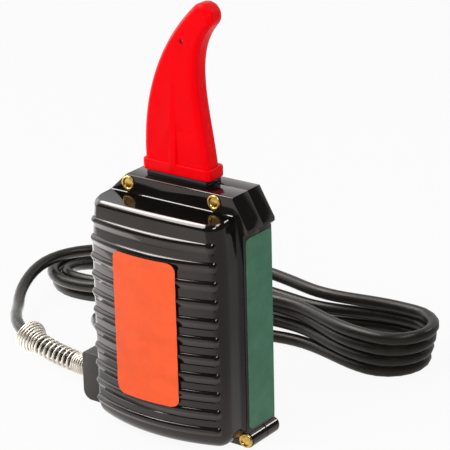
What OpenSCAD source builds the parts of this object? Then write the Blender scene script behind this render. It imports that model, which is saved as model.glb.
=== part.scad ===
// Handheld demagnetizer. A moulded case in two halves holds a coil on a laminated iron core.
// The core leaves the top as a curved probe in a red boot. A mains cord enters at the lower left
// through a block and a coil spring, lies in a hank behind the case and ends in a plug.
// Millimetres. X to the right, Y to the back, Z up. The origin is on the base, under the probe.

/* [Case] */
// Height of the case top above the base
case_h = 122; // [112:0.5:140]
// Half width of the case at its recessed sides
side_x = 40.4; // [39.6:0.2:46]
// How far the shoulders stand proud of the recessed sides
shoulder_out = 2; // [1:0.2:4]
// Height of the upright face of a shoulder
shoulder_face = 1.6; // [0.8:0.2:4]
// Distance of the flange's front and back faces from the origin plane
flange_d = 10.8; // [10.2:0.2:14]
// Where the two halves of the case meet, along Y
part_y = 1; // [0:0.25:2]
// Wall of the case
wall = 2.8; // [2:0.1:3.2]
// Where the flat top ends on the left
top_left = 25.8; // [22:0.2:32]
// Fall of the long chamfer on the left
left_drop = 15.4; // [10:0.2:18]
// Where the flat top ends on the right
top_right = 34.3; // [30:0.2:38]
// Fall of the steep chamfer on the right
right_drop = 14; // [10:0.2:18]

/* [Front bulge] */
// Width of the beaded front
bulge_w = 76; // [74:0.5:78]
// How far the front stands out from the flange
bulge_d = 23.7; // [20:0.1:28]
// Height of the front's underside
bulge_low = 3; // [2:0.25:6]
// Distance from the case top down to the front's shelf
shelf_drop = 9.5; // [9:0.25:14]
// Radius of the beaded crown, at the tops of the beads, seen from above
crown_r = 80; // [70:0.5:95]
// Corner radius seen from above
corner_r = 9; // [8.6:0.2:11]
// Distance from the crown back to the corner centres
corner_back = 14.7; // [13:0.1:17]
// Rounding along the top edge
top_round = 5.5; // [4:0.25:6]
// Rounding along the bottom edge
bottom_round = 8; // [4:0.25:8]
// Distance between neighbouring beads
bead_pitch = 9; // [7.5:0.25:12]
// How far a bead stands out
bead_out = 1.7; // [0.6:0.1:2]
// Half height of a bead
bead_half = 1.9; // [1:0.1:2.4]
// Angle, from the side, at which the beads stop
bead_stop = 32; // [15:1:50]

/* [Rear bulge] */
// Width of the rear bulge at its root
rear_w = 64; // [62:0.5:70]
// How far the rear bulge stands out from the flange
rear_d = 11.2; // [10.2:0.2:14]
// Height of the rear bulge's underside
rear_low = 6; // [4:0.5:10]
// Distance from the case top down to the rear bulge
rear_drop = 14; // [10:0.5:16]
// Draft of the rear bulge, at its outer face
rear_draft = 2; // [0.5:0.1:2.4]
// Rounding of the rear bulge's outer edges
rear_round = 4; // [2:0.25:6]

/* [Rivets] */
// Distance between the two top rivets
rivet_span = 48.6; // [44:0.2:52]
// Distance of the top rivets below the case top
rivet_drop = 4; // [3.8:0.1:5.5]
// Distance of the bottom rivets inside the recessed sides
foot_inset = 1.4; // [0.8:0.1:3]
// Diameter of the bosses round the bottom rivets
boss_d = 7.8; // [7.2:0.1:9]
// Diameter of a rivet's shank
shank_d = 4; // [3:0.1:5]
// Diameter of a rivet's head
head_d = 7; // [6:0.1:7.2]
// Height of a rivet's head
head_h = 1; // [0.6:0.1:1.6]
// Bore of the tubular rivet
rivet_bore_d = 2.4; // [1.6:0.1:2.6]
// Clearance round a rivet's shank
rivet_gap = 0.1; // [0.05:0.01:0.2]

/* [Core and probe] */
// Width of the core where it passes through the case
core_w = 27; // [22:0.5:29]
// Thickness of the stack of laminations
core_t = 8; // [6:0.1:8.6]
// Number of laminations
lam_count = 8; // [4:1:10]
// Varnish gap between laminations
lam_gap = 0.06; // [0.04:0.01:0.1]
// Height of the core's lower end
core_low = 22; // [21:0.5:24]
// Clearance round the core
core_gap = 0.1; // [0.05:0.01:0.15]
// Wall of the neck sleeve
neck_wall = 1.5; // [1:0.1:1.8]
// Length of neck that shows between the case and the boot
neck_show = 2.6; // [1.5:0.1:5]
// Lip that holds the neck sleeve under the case top
neck_lip = 2.2; // [1.4:0.1:2.4]

/* [Boot] */
// Height of the tip's centre above the boot's foot
horn_h = 76.7; // [60:0.5:90]
// How far the tip leans to the right
horn_lean = 14.2; // [6:0.2:22]
// How far the horn's centre line bows to the left
horn_bow = 4; // [0:0.2:7]
// Width of the horn at its root
horn_root_w = 33; // [32:0.2:36]
// Width of the horn at its tip
horn_tip_w = 10.6; // [8:0.2:13]
// Skin of the boot over the core's edges
boot_wall = 1.4; // [0.8:0.1:1.6]
// Skin of the boot over the core's flat faces
boot_cheek = 1.2; // [0.8:0.1:2]
// Width of the collar
collar_w = 34.8; // [34:0.2:38]
// Thickness of the collar
collar_t = 13.2; // [12.4:0.2:16]
// Height of the collar
collar_h = 5.4; // [3:0.2:8]

/* [Coil] */
// Height of the bobbin's underside
bobbin_low = 30.2; // [29.4:0.2:34]
// Room above the bobbin, under the lower of the two roofs
bobbin_head = 5; // [3:0.1:24]
// Wall of the bobbin's tube
bobbin_wall = 1.5; // [1:0.1:1.8]
// Thickness of the bobbin's end plates
end_plate = 2; // [1.2:0.1:3]
// Build of the winding on its narrow sides
build_x = 8.4; // [6:0.1:8.8]
// Build of the winding on its broad sides
build_y = 9.2; // [6:0.1:10]
// Thickness of the tape round the winding
wrap_t = 0.5; // [0.3:0.1:1]
// How far the end plates stand past the tape
plate_lip = 1.8; // [0.6:0.1:2]
// Thickness of the ledges that carry the bobbin
ledge_t = 3; // [2:0.25:4]
// Clearance between the bobbin and its ledges
seat_gap = 0.2; // [0.1:0.05:0.3]

/* [Labels] */
// Width of the front label, along the crown
front_label_w = 35.3; // [25:0.1:44]
// Height of the front label
front_label_h = 67.7; // [45:0.1:76]
// Height of the front label's lower edge
front_label_low = 25.4; // [18:0.1:34]
// Corner radius of the front label
front_label_r = 4; // [1:0.25:6]
// Width of the side label
side_label_w = 20; // [14:0.2:20.2]
// Gap between the side label and the shoulder above it
side_label_head = 1.4; // [1:0.1:20]
// Gap between the side label and the foot boss below it
side_label_foot = 1.3; // [0.8:0.1:6]
// Corner radius of the side label
side_label_r = 2.5; // [0.5:0.25:5]
// Thickness of the labels
label_t = 0.25; // [0.15:0.05:0.5]

/* [Cord entry] */
// Length of the entry block from the case's side
entry_len = 18; // [14:0.2:22]
// Height of the entry block
entry_h = 25; // [24:0.25:29]
// Depth of the entry block, front to back
entry_d = 20; // [17:0.25:21]
// Rounding of the block's lower outer edge
entry_r = 5; // [2:0.25:6]
// Height of the cord where it enters
entry_z = 12.5; // [12.3:0.1:13]
// Height of the tongue that passes through the case wall
tongue_h = 13.2; // [12:0.2:13.6]
// Depth of the tongue, front to back
tongue_d = 13.6; // [12:0.2:16]
// Lip of the tongue inside the case
tongue_lip = 1.6; // [0.8:0.1:2]
// Thickness of that lip
lip_t = 2; // [1:0.1:3]
// Clearance of the tongue in its window
window_gap = 0.2; // [0.1:0.05:0.3]
// Outside diameter of the rubber bushing
bushing_d = 9; // [8:0.1:9.6]
// Clearance of the bushing in the block and of the cord in the bushing
bush_gap = 0.1; // [0.05:0.01:0.15]

/* [Spring] */
// Diameter of the spring wire
wire_d = 1.3; // [1:0.05:1.4]
// Outside diameter of the spring at the block
spring_d = 10.8; // [10.4:0.1:11.6]
// Outside diameter of the spring's bell end
bell_d = 15; // [12:0.2:18]
// Depth of the socket that holds the spring's foot
socket_depth = 5; // [3:0.5:8]
// Clearance of the spring in its socket
socket_gap = 0.3; // [0.2:0.05:0.5]
// Close turns at the block
tight_turns = 8; // [6:1:12]
// Pitch of the close turns
tight_pitch = 2; // [1.9:0.05:2.4]
// Open turns in the middle
open_turns = 8; // [6:1:10]
// Pitch of the open turns
open_pitch = 3.1; // [2.2:0.1:3.5]
// Close turns in the bell end
bell_turns = 5; // [4:1:10]
// Pitch of the turns in the bell end
bell_pitch = 1.95; // [1.9:0.05:2.3]

/* [Cord] */
// Diameter of the cord
cord_d = 6.2; // [5.6:0.1:6.4]
// Gap between the cord and the floor
floor_gap = 0.1; // [0.05:0.05:0.5]

/* [Hank] */
// Straight run of a loop, from fold to fold
hank_run = 184; // [170:1:196]
// Radius of the innermost fold
fold_r = 19; // [18.6:0.1:22]
// Step between neighbouring strands
hank_step = 4; // [3.8:0.1:5]
// Height from one layer of strands to the next
hank_layer = 6.8; // [6.8:0.1:8]
// How far the loops are drawn in at the waist
hank_waist = 14; // [0:0.5:15]
// Half of the length that is drawn in
hank_flat = 36; // [20:1:44]

/* [Plug] */
// Length of the plug's body
plug_len = 30; // [26:0.5:40]
// Width of the plug's body
plug_w = 26; // [24:0.5:32]
// Height of the plug's body
plug_h = 22; // [21.5:0.25:26]
// Length of the plug's tapered strain relief
relief_len = 20; // [20:0.5:30]
// Length of the flat blades
blade_len = 17; // [16:0.1:18.3]
// Width of a flat blade
blade_w = 6.3; // [6.2:0.05:6.5]
// Thickness of a flat blade
blade_t = 1.5; // [1.4:0.05:1.65]
// Distance between the flat blades
blade_span = 12.7; // [12.5:0.05:12.9]
// Distance of the earth pin from the flat blades
earth_rise = 11.9; // [11.7:0.05:12.1]
// Diameter of the earth pin
earth_d = 4.8; // [4.7:0.05:4.9]
// How much longer the earth pin is than the blades
earth_extra = 3.2; // [2:0.1:4]

/* [Wiring] */
// Diameter of an insulated conductor
lead_d = 2.2; // [1.8:0.1:2.4]
// Diameter of a crimped splice cap
splice_d = 7; // [6:0.1:8]
// Length of a splice cap
splice_len = 15; // [12:0.5:18]
// Thickness of the earthing saddle under the core
saddle_t = 1.5; // [1:0.1:2]
// Half width of the earthing saddle
saddle_x = 10; // [9:0.25:12]
// Diameter of the pins through the laminations
pin_d = 3; // [2.4:0.1:3.4]
// Diameter of the earth screw and the clamp screw
screw_d = 2.5; // [2:0.1:3]

/* [Hidden] */
$fn = 64;

shell_black = [0.06, 0.06, 0.065];
brass = [0.78, 0.6, 0.25];
nickel = [0.75, 0.73, 0.7];
iron = [0.45, 0.45, 0.47];
copper = [0.72, 0.4, 0.2];
cord_grey = [0.12, 0.12, 0.12];

// Small overlap that lets two shapes of one piece join
join = 0.5;
// Gap between two faces that lie against each other
touch = 0.02;

// Front bulge, worked out from its crown and corners
front_y = flange_d + bulge_d;
bulge_high = case_h - shelf_drop;
corner_x = bulge_w / 2 - corner_r;
corner_y = front_y - corner_back;
crown_y = crown_r - front_y;
// Half angle of the crown, wide enough to reach past the corners
crown_a = 45;
// How far the top and bottom rounding of the sides is set outside the side walls
step = 0.3;
bead_top = bulge_high - top_round - bead_half - 1.1;
bead_low = bulge_low + bottom_round + bead_half + 1;
bead_count = floor((bead_top - bead_low) / bead_pitch) + 1;
round_steps = 5;

// Hollow of the case
floor_z = bulge_low + wall;
roof_z = bulge_high - wall;
hollow_x = bulge_w / 2 - wall;
rear_y = flange_d + rear_d;
rear_high = case_h - rear_drop;
rear_hollow_x = rear_w / 2 - rear_draft - wall;

// Rivets
foot_x = side_x - foot_inset;
foot_z = boss_d / 2;
rivet_places = [
    [-rivet_span / 2, case_h - rivet_drop], [rivet_span / 2, case_h - rivet_drop],
    [-foot_x, foot_z], [foot_x, foot_z]
];

// Side label, between the foot boss and the shoulder
side_label_low = boss_d + side_label_foot;
side_label_high = case_h - right_drop - shoulder_face - shoulder_out - side_label_head;

// Neck, boot and horn
boot_z = case_h + neck_show;
neck_top = boot_z - seat_gap;
neck_x = core_w / 2 + core_gap + neck_wall;
neck_y = core_t / 2 + core_gap + neck_wall;
neck_lip_low = roof_z + 2;
neck_lip_high = neck_lip_low + 4;
horn_t = core_t + 2 * core_gap + 2 * boot_cheek;
horn_steps = 20;
root_z = 1.4;
horn_centre = [
    [-0.6, root_z], [-horn_bow, 0.41 * horn_h], [-0.55 * horn_bow, 0.775 * horn_h], [horn_lean, horn_h]
];
horn_widths = [horn_root_w / 2, 0.98 * horn_root_w / 2, 1.04 * horn_tip_w / 2, horn_tip_w / 2];

// Coil
tube_x = core_w / 2 + core_gap + bobbin_wall;
tube_y = core_t / 2 + core_gap + bobbin_wall;
wind_x = tube_x + build_x;
wind_y = tube_y + build_y;
plate_x = wind_x + wrap_t + plate_lip;
plate_y = wind_y + wrap_t + plate_lip;
bobbin_high = min(roof_z, rear_high - wall) - bobbin_head;
ledge_x = plate_x - 4.5;

// Cord entry
entry_x = side_x + entry_len;
socket_x = entry_x - socket_depth;
socket_d = spring_d + 2 * socket_gap;
lip_x = hollow_x - window_gap;
relief_x = foot_x + boss_d / 2 + window_gap;
relief_z = boss_d + window_gap;
bore_d = bushing_d + 2 * bush_gap;
stub_x = 20;

// Spring, along an axis that starts straight and then lifts and bends to the back
coil_r = (spring_d - wire_d) / 2;
bell_r = (bell_d - wire_d) / 2;
tight_len = tight_turns * tight_pitch;
open_len = open_turns * open_pitch;
bell_len = bell_turns * bell_pitch;
all_turns = tight_turns + open_turns + bell_turns;
spring_len = tight_len + open_len + bell_len;
spring_straight = socket_depth + 3;
spring_rise = 4.5;
spring_back = 4.5;
curl_rings = 8;

// Cord route between the spring and the hank, and from the hank to the plug
cord_z = cord_d / 2 + floor_gap;
lead_route = [
    [-112, 8, 17.6], [-121, 15, 17], [-132, 27, 14.5], [-142, 40, 12], [-151, 52, 12],
    [-157, 64, 14], [-160, 77, 16.6], [-160, 90, 17.6], [-156, 102, 17.8], [-148, 112, 17.8],
    [-137, 121, 17.8], [-124, 127.5, 18.2], [-110, 130.5, 19], [-96, 130.5, 20.2], [-81, 128, 21.6]
];
tail_route = [
    [-91.5, 88, 3.6], [-100.5, 78.5, 5], [-104, 66, 7.2], [-100.5, 53.5, 9.4], [-91.5, 44.5, 11]
];
plug_at = [-77, 41, 11.4];
cord_sides = 8;

// Hank of four loops. They lie in two layers at the left fold and stand four high at the right one.
hank_at = [-50, 108];
hank_turn = -0.5;
hank_offsets = [0, 1, 2, 3, 3, 2, 1, 0];
hank_levels = [3, 3, 2, 2, 1, 1, 0, 0];
hank_lean = [2.4, -1.6];
hank_climb = [0.04, 0.48];
hank_close = [0.45, 0.95];
hank_outer = fold_r + 3 * hank_step;
hank_half = hank_run / 2;
hank_start = 0.2;
hank_end = 7.31;
ring_steps = [for (i = [0:11]) i / 12];
hank_sides = 6;

// Wiring
splice_z = floor_z + splice_d / 2 + seat_gap;
splice_x = 6;
splice_ys = [-10, -19];
saddle_low = core_low - core_gap - saddle_t;
terminal_t = 0.8;
terminal_high = saddle_low - touch;
terminal_d = 8;
terminal_w = 3;
tongue_x = 7;
barrel_wall = 0.4;
barrel_sink = 0.2;
barrel_x = 12;
barrel_len = 7;
barrel_z = terminal_high - terminal_t - lead_d / 2 + barrel_sink;
pin_x = 7;
pin_rise = 4;
pin_head_d = pin_d + 2;
pin_head_h = 1;
// Where the three conductors leave the cut end of the cord, and the routes they take
strand_y = 1.6;
strand_drop = 0.9;
strand_lift = 1.5;
line_route = [[-16, -2.6, 11.2], [-11, -7, 10.4], [-5, -14, 9.8], [0, -18, splice_z]];
neutral_route = [[-15, 1.2, 11], [-9, -2.4, 10.4], [-3, -7.4, 9.8], [1.5, -9.6, splice_z]];
earth_route = [[-18, 0, entry_z + 1.8], [-15.5, 0, barrel_z - 0.8], [-13.5, 0, barrel_z]];
coil_routes = [
    [
        [18, -10, bobbin_low - touch], [18.5, -10, 26], [22, -10, 20], [27, -10, 15],
        [28.5, -10, 11.5], [26, -10, splice_z]
    ],
    [
        [18, -14, bobbin_low - touch], [18.5, -14.2, 26], [22, -16, 20], [27, -19, 15],
        [28.5, -19, 11.5], [26, -19, splice_z]
    ]
];
clamp_x = -25;
clamp_len = 6;
clamp_y = 5.5;
clamp_h = entry_z + cord_d / 2 + 2 - floor_z;
ear_y = 8.4;
ear_h = 3;
ear_len = 10.4;
screw_head_d = 5;
screw_head_h = 2;
screw_low = 1.4;

// Curves, routes and tubes
function arc(c, r, a0, a1, n) = [
    for (i = [0:n]) let(a = a0 + (a1 - a0) * i / n) [c[0] + r * cos(a), c[1] + r * sin(a)]
];
function bezier(p, t) = pow(1 - t, 3) * p[0] + 3 * t * pow(1 - t, 2) * p[1]
    + 3 * t * t * (1 - t) * p[2] + t * t * t * p[3];
function slope(p, t) = 3 * pow(1 - t, 2) * (p[1] - p[0]) + 6 * t * (1 - t) * (p[2] - p[1])
    + 3 * t * t * (p[3] - p[2]);
function unit(v) = v / norm(v);
function smooth(t) = t * t * (3 - 2 * t);
function spline(p, n) = [
    for (i = [0:len(p) - 2]) for (k = [0:n - 1])
        let(t = k / n, a = p[max(i - 1, 0)], b = p[i], c = p[i + 1], d = p[min(i + 2, len(p) - 1)])
        0.5 * ((2 * b) + (c - a) * t + (2 * a - 5 * b + 4 * c - d) * t * t + (3 * b - a - 3 * c + d) * t * t * t),
    p[len(p) - 1]
];
function tangent(p, i) = unit(p[min(i + 1, len(p) - 1)] - p[max(i - 1, 0)]);
function upright(p) = [for (q = p) [0, 0, 1]];
function least_gap(p, d, skip) = min([
    for (i = [0:len(p) - 1]) for (j = [i + skip:1:len(p) - 1]) norm(p[i] - p[j])
]) - d;

module tube(path, d, sides, ups) {
    n = len(path);
    rings = [
        for (i = [0:n - 1])
            let(t = tangent(path, i), s = unit(cross(t, ups[i])), u = cross(s, t))
            for (k = [0:sides - 1])
                let(a = 360 * (k + 0.5) / sides) path[i] + d / 2 * (cos(a) * s + sin(a) * u)
    ];
    walls = [
        for (i = [0:n - 2]) for (k = [0:sides - 1])
            let(a = i * sides + k, b = i * sides + (k + 1) % sides)
            each [[a, b, b + sides], [a, b + sides, a + sides]]
    ];
    last = (n - 1) * sides;
    caps = [for (k = [1:sides - 2]) each [[0, k + 1, k], [last, last + k, last + k + 1]]];
    polyhedron(points = rings, faces = concat(walls, caps));
}

// Solid along Y whose outline is drawn in X and Z
module across(y0, y1) {
    translate([0, y1, 0]) rotate([90, 0, 0]) linear_extrude(y1 - y0) children();
}

module box(x, y, z0, z1) {
    translate([-x, -y, z0]) cube([2 * x, 2 * y, z1 - z0]);
}

module rounded_plate(w, h, r) {
    polygon(concat(
        arc([w / 2 - r, h - r], r, 0, 90, 8), arc([r - w / 2, h - r], r, 90, 180, 8),
        arc([r - w / 2, r], r, 180, 270, 8), arc([w / 2 - r, r], r, 270, 360, 8)
    ));
}

// Case
module flange_outline() {
    shoulder_x = side_x + shoulder_out;
    left_z = case_h - left_drop;
    right_z = case_h - right_drop;
    polygon([
        [-foot_x, 0], [foot_x, 0], [side_x, foot_z],
        [side_x, right_z - shoulder_face - shoulder_out], [shoulder_x, right_z - shoulder_face],
        [shoulder_x, right_z], [top_right, case_h], [-top_left, case_h], [-shoulder_x, left_z],
        [-shoulder_x, left_z - shoulder_face], [-side_x, left_z - shoulder_face - shoulder_out],
        [-side_x, foot_z]
    ]);
}

function bead_points(edge) = [
    for (i = [bead_count - 1:-1:0])
        let(z = bead_top - i * bead_pitch)
        each [
            [edge - bead_out, z - bead_half - 0.6], [edge - 0.62 * bead_out, z - 0.82 * bead_half],
            [edge - 0.18 * bead_out, z - 0.45 * bead_half], [edge, z], [edge - 0.18 * bead_out, z + 0.45 * bead_half],
            [edge - 0.62 * bead_out, z + 0.82 * bead_half], [edge - bead_out, z + bead_half + 0.6]
        ]
];
// Outline of the bulge from its underside to its shelf, with or without the beads
function skin(edge, beaded, steps) =
    let(base = beaded ? edge - bead_out : edge)
    concat(
        [[0, bulge_low]],
        arc([base - bottom_round, bulge_low + bottom_round], bottom_round, -90, 0, steps),
        beaded ? bead_points(edge) : [],
        arc([base - top_round, bulge_high - top_round], top_round, 0, 90, steps),
        [[0, bulge_high]]
    );
function both_sides(p) = concat(p, [for (i = [len(p) - 2:-1:1]) [-p[i][0], p[i][1]]]);

// Plan of the bulge: straight sides, rounded corners, then lines on to the front
module bulge_plan(inset, back) {
    x = bulge_w / 2 - inset;
    r = corner_r - inset;
    ends = [corner_x + r * cos(bead_stop), -corner_y - r * sin(bead_stop)];
    right = concat(
        [[x, back]], arc([corner_x, -corner_y], r, 0, -bead_stop, 8),
        [ends - 2 * corner_back * [sin(bead_stop), cos(bead_stop)]]
    );
    polygon(concat(right, [for (i = [len(right) - 1:-1:0]) [-right[i][0], right[i][1]]]));
}

module bulge() {
    intersection() {
        translate([0, crown_y, 0]) rotate([0, 0, 270 - crown_a]) rotate_extrude(angle = 2 * crown_a)
            polygon(skin(crown_r, true, round_steps));
        linear_extrude(case_h) bulge_plan(0, join - flange_d);
        across(-front_y - 1, join - flange_d + 1) polygon(both_sides(skin(bulge_w / 2 + step, false, round_steps + 2)));
    }
}

module front_hollow() {
    translate([0, 0, floor_z]) linear_extrude(roof_z - floor_z) intersection() {
        translate([0, crown_y]) circle(r = crown_r - bead_out - wall);
        bulge_plan(wall, part_y + join);
    }
}

module rivet_holes() {
    for (p = rivet_places) translate([p[0], 0, p[1]]) rotate([90, 0, 0])
        cylinder(d = shank_d + 2 * rivet_gap, h = 4 * flange_d, center = true);
}

module neck_holes() {
    box(neck_x + seat_gap, neck_y + seat_gap, roof_z - join, case_h + join);
    box(neck_x + neck_lip + seat_gap, neck_y + neck_lip + seat_gap, roof_z - join, neck_lip_high + seat_gap);
}

module entry_window() {
    translate([-side_x - shoulder_out, -tongue_d / 2 - window_gap, entry_z - tongue_h / 2 - window_gap])
        cube([side_x + shoulder_out - hollow_x + join, tongue_d + 2 * window_gap, tongue_h + 2 * window_gap]);
}

module ledges(y0, y1, reach) {
    for (s = [-1, 1]) for (z = [bobbin_low - seat_gap - ledge_t, bobbin_high + seat_gap])
        translate([s < 0 ? -reach : ledge_x, y0, z]) cube([reach - ledge_x, y1 - y0, ledge_t]);
}

module front_shell() {
    color(shell_black) {
        difference() {
            union() {
                across(-flange_d, part_y) flange_outline();
                bulge();
                for (s = [-1, 1]) translate([s * foot_x, part_y, foot_z]) rotate([90, 0, 0])
                    cylinder(d = boss_d, h = part_y + flange_d);
            }
            front_hollow();
            neck_holes();
            rivet_holes();
            entry_window();
            translate([clamp_x, -ear_y, screw_low - seat_gap])
                cylinder(d = screw_d + 2 * core_gap, h = floor_z);
        }
        ledges(-plate_y, part_y, hollow_x + join);
    }
}

module rear_bulge(inset) {
    out = rear_y - inset;
    root_x = rear_w / 2 - inset;
    face_x = root_x - rear_draft;
    r = max(rear_round - inset, 0.5);
    low = rear_low + inset;
    high = rear_high - inset;
    intersection() {
        translate([0, 0, low]) linear_extrude(high - low) polygon(concat(
            [[-root_x, part_y - join], [root_x, part_y - join], [root_x, flange_d]],
            arc([face_x - r, out - r], r, 0, 90, round_steps), arc([r - face_x, out - r], r, 90, 180, round_steps),
            [[-root_x, flange_d]]
        ));
        rotate([90, 0, 90]) linear_extrude(rear_w, center = true) polygon(concat(
            [[part_y - join, low], [flange_d, low]],
            arc([out - r, low + rear_draft + r], r, -90, 0, round_steps),
            arc([out - r, high - rear_draft - r], r, 0, 90, round_steps),
            [[flange_d, high], [part_y - join, high]]
        ));
    }
}

module rear_shell() {
    color(shell_black) {
        difference() {
            union() {
                across(part_y, flange_d) flange_outline();
                intersection() {
                    rear_bulge(0);
                    translate([-rear_w, part_y, 0]) cube([2 * rear_w, rear_y, case_h]);
                }
                for (s = [-1, 1]) translate([s * foot_x, flange_d, foot_z]) rotate([90, 0, 0])
                    cylinder(d = boss_d, h = flange_d - part_y);
            }
            rear_bulge(wall);
            translate([-hollow_x, part_y - join, floor_z])
                cube([2 * hollow_x, flange_d - wall - part_y + join, roof_z - floor_z]);
            neck_holes();
            rivet_holes();
            entry_window();
        }
        ledges(part_y, plate_y, rear_hollow_x + join);
    }
}

module case_rivets() {
    color(brass) for (p = rivet_places) translate([p[0], 0, p[1]]) rotate([90, 0, 0]) rotate_extrude() polygon([
        [rivet_bore_d / 2, -flange_d - head_h], [head_d / 2 - head_h / 2, -flange_d - head_h],
        [head_d / 2, -flange_d - head_h / 2], [head_d / 2, -flange_d], [shank_d / 2, -flange_d],
        [shank_d / 2, flange_d], [head_d / 2, flange_d], [head_d / 2, flange_d + head_h / 2],
        [head_d / 2 - head_h / 2, flange_d + head_h], [rivet_bore_d / 2 + head_h / 2, flange_d + head_h],
        [rivet_bore_d / 2, flange_d + head_h / 2]
    ]);
}

module front_label() {
    half_a = front_label_w / 2 / crown_r * 180 / PI + 1;
    color([1, 0.45, 0.25]) intersection() {
        translate([0, crown_y, 0]) rotate([0, 0, 270 - half_a]) rotate_extrude(angle = 2 * half_a)
            translate([crown_r + touch, 0]) square([label_t, case_h]);
        across(-front_y - 1, -corner_y) translate([0, front_label_low])
            rounded_plate(front_label_w, front_label_h, front_label_r);
    }
}

module side_label() {
    color([0.25, 0.48, 0.36]) translate([side_x + touch, 0, side_label_low]) rotate([90, 0, 90])
        linear_extrude(label_t) rounded_plate(side_label_w, side_label_high - side_label_low, side_label_r);
}

// Probe: the horn's outline, drawn in by an inset, from its root round the tip
function horn_side(t, inset, side) =
    let(d = unit(slope(horn_centre, t)))
    bezier(horn_centre, t) + side * (bezier(horn_widths, t) - inset) * [d[1], -d[0]];
function horn_outline(inset) =
    let(d = unit(slope(horn_centre, 1)), a = atan2(-d[0], d[1]))
    concat(
        [for (i = [0:horn_steps]) horn_side(i / horn_steps, inset, 1)],
        [for (p = arc(horn_centre[3], horn_tip_w / 2 - inset, a + 15, a + 165, 10)) p],
        [for (i = [horn_steps:-1:0]) horn_side(i / horn_steps, inset, -1)]
    );

module core_outline(grow, low) {
    translate([0, boot_z]) polygon(horn_outline(boot_wall - grow));
    translate([-core_w / 2 - grow, low]) square([core_w + 2 * grow, boot_z + root_z + join - low]);
}

module probe_boot() {
    color([0.95, 0.03, 0.08]) difference() {
        union() {
            across(-horn_t / 2, horn_t / 2) translate([0, boot_z]) polygon(horn_outline(0));
            box(collar_w / 2, collar_t / 2, boot_z, boot_z + collar_h);
        }
        across(-core_t / 2 - core_gap, core_t / 2 + core_gap) core_outline(core_gap, boot_z - join);
    }
}

module neck_sleeve() {
    color([0.08, 0.08, 0.08]) difference() {
        union() {
            box(neck_x, neck_y, neck_lip_low, neck_top);
            box(neck_x + neck_lip, neck_y + neck_lip, neck_lip_low, neck_lip_high);
        }
        box(core_w / 2 + core_gap, core_t / 2 + core_gap, neck_lip_low - join, neck_top + join);
    }
}

module core_pin_holes(d) {
    for (s = [-1, 1]) translate([s * pin_x, 0, core_low + pin_rise]) rotate([90, 0, 0])
        cylinder(d = d, h = 3 * core_t, center = true);
}

module core_laminations() {
    lam_t = core_t / lam_count;
    color(iron) for (i = [0:lam_count - 1]) difference() {
        across(i * lam_t - core_t / 2, (i + 1) * lam_t - core_t / 2 - lam_gap) core_outline(0, core_low);
        core_pin_holes(pin_d + 2 * core_gap);
    }
}

module core_pins() {
    half = core_t / 2 + core_gap + saddle_t;
    color(nickel) {
        intersection() {
            core_pin_holes(pin_d);
            translate([0, 0, core_low + pin_rise]) cube([core_w, 2 * half, 2 * pin_d], center = true);
        }
        for (s = [-1, 1]) for (y = [-half, half + pin_head_h])
            translate([s * pin_x, y, core_low + pin_rise]) rotate([90, 0, 0])
            cylinder(d = pin_head_d, h = pin_head_h);
    }
}

module earth_saddle() {
    half = core_t / 2 + core_gap;
    color(nickel) difference() {
        box(saddle_x, half + saddle_t, saddle_low, core_low + pin_rise + pin_d);
        box(saddle_x + join, half, saddle_low + saddle_t, core_low + pin_rise + pin_d + join);
        core_pin_holes(pin_d + 2 * core_gap);
        translate([0, 0, saddle_low - 1]) cylinder(d = screw_d + 2 * core_gap, h = saddle_t + 2);
    }
}

module earth_screw() {
    color(brass) {
        translate([0, 0, terminal_high - terminal_t - touch]) cylinder(d = screw_d, h = terminal_t + saddle_t);
        translate([0, 0, terminal_high - terminal_t - touch - screw_head_h])
            cylinder(d = screw_head_d, h = screw_head_h);
    }
}

module earth_terminal() {
    low = terminal_high - terminal_t;
    color(nickel) {
        difference() {
            union() {
                translate([0, 0, low]) cylinder(d = terminal_d, h = terminal_t);
                translate([-tongue_x, -terminal_w / 2, low]) cube([tongue_x, terminal_w, terminal_t]);
            }
            translate([0, 0, low - 1]) cylinder(d = screw_d + 2 * core_gap, h = terminal_t + 2);
        }
        translate([-barrel_x, 0, barrel_z]) rotate([0, 90, 0])
            cylinder(d = lead_d + 2 * barrel_wall, h = barrel_len);
    }
}

// Coil
module bobbin() {
    color([0.85, 0.82, 0.7]) difference() {
        union() {
            box(tube_x, tube_y, bobbin_low, bobbin_high);
            box(plate_x, plate_y, bobbin_low, bobbin_low + end_plate);
            box(plate_x, plate_y, bobbin_high - end_plate, bobbin_high);
        }
        box(core_w / 2 + core_gap, core_t / 2 + core_gap, bobbin_low - 1, bobbin_high + 1);
    }
}

module layer(x0, y0, x1, y1) {
    low = bobbin_low + end_plate + touch;
    high = bobbin_high - end_plate - touch;
    difference() {
        box(x1, y1, low, high);
        box(x0 + touch, y0 + touch, low - 1, high + 1);
    }
}

module winding() {
    color(copper) layer(tube_x, tube_y, wind_x, wind_y);
}

module winding_tape() {
    color([0.9, 0.8, 0.35]) layer(wind_x, wind_y, wind_x + wrap_t, wind_y + wrap_t);
}

module wire(points, up) {
    tube(spline(points, 3), lead_d, 8, [for (p = spline(points, 3)) up]);
}

module coil_leads() {
    end_x = splice_x + splice_len + touch;
    color(copper) for (i = [0, 1])
        wire(concat(coil_routes[i], [[end_x, splice_ys[i], splice_z]]), [0, 1, 0]);
}

module splice_caps() {
    color([0.9, 0.85, 0.6]) for (y = splice_ys) translate([splice_x, y, splice_z]) rotate([0, 90, 0])
        cylinder(d = splice_d, h = splice_len);
}

module line_lead() {
    color([0.1, 0.1, 0.1]) wire(concat(
        [[-stub_x + touch, -strand_y, entry_z - strand_drop]], line_route,
        [[splice_x - touch, splice_ys[1], splice_z]]
    ), [0, 0, 1]);
}

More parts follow.
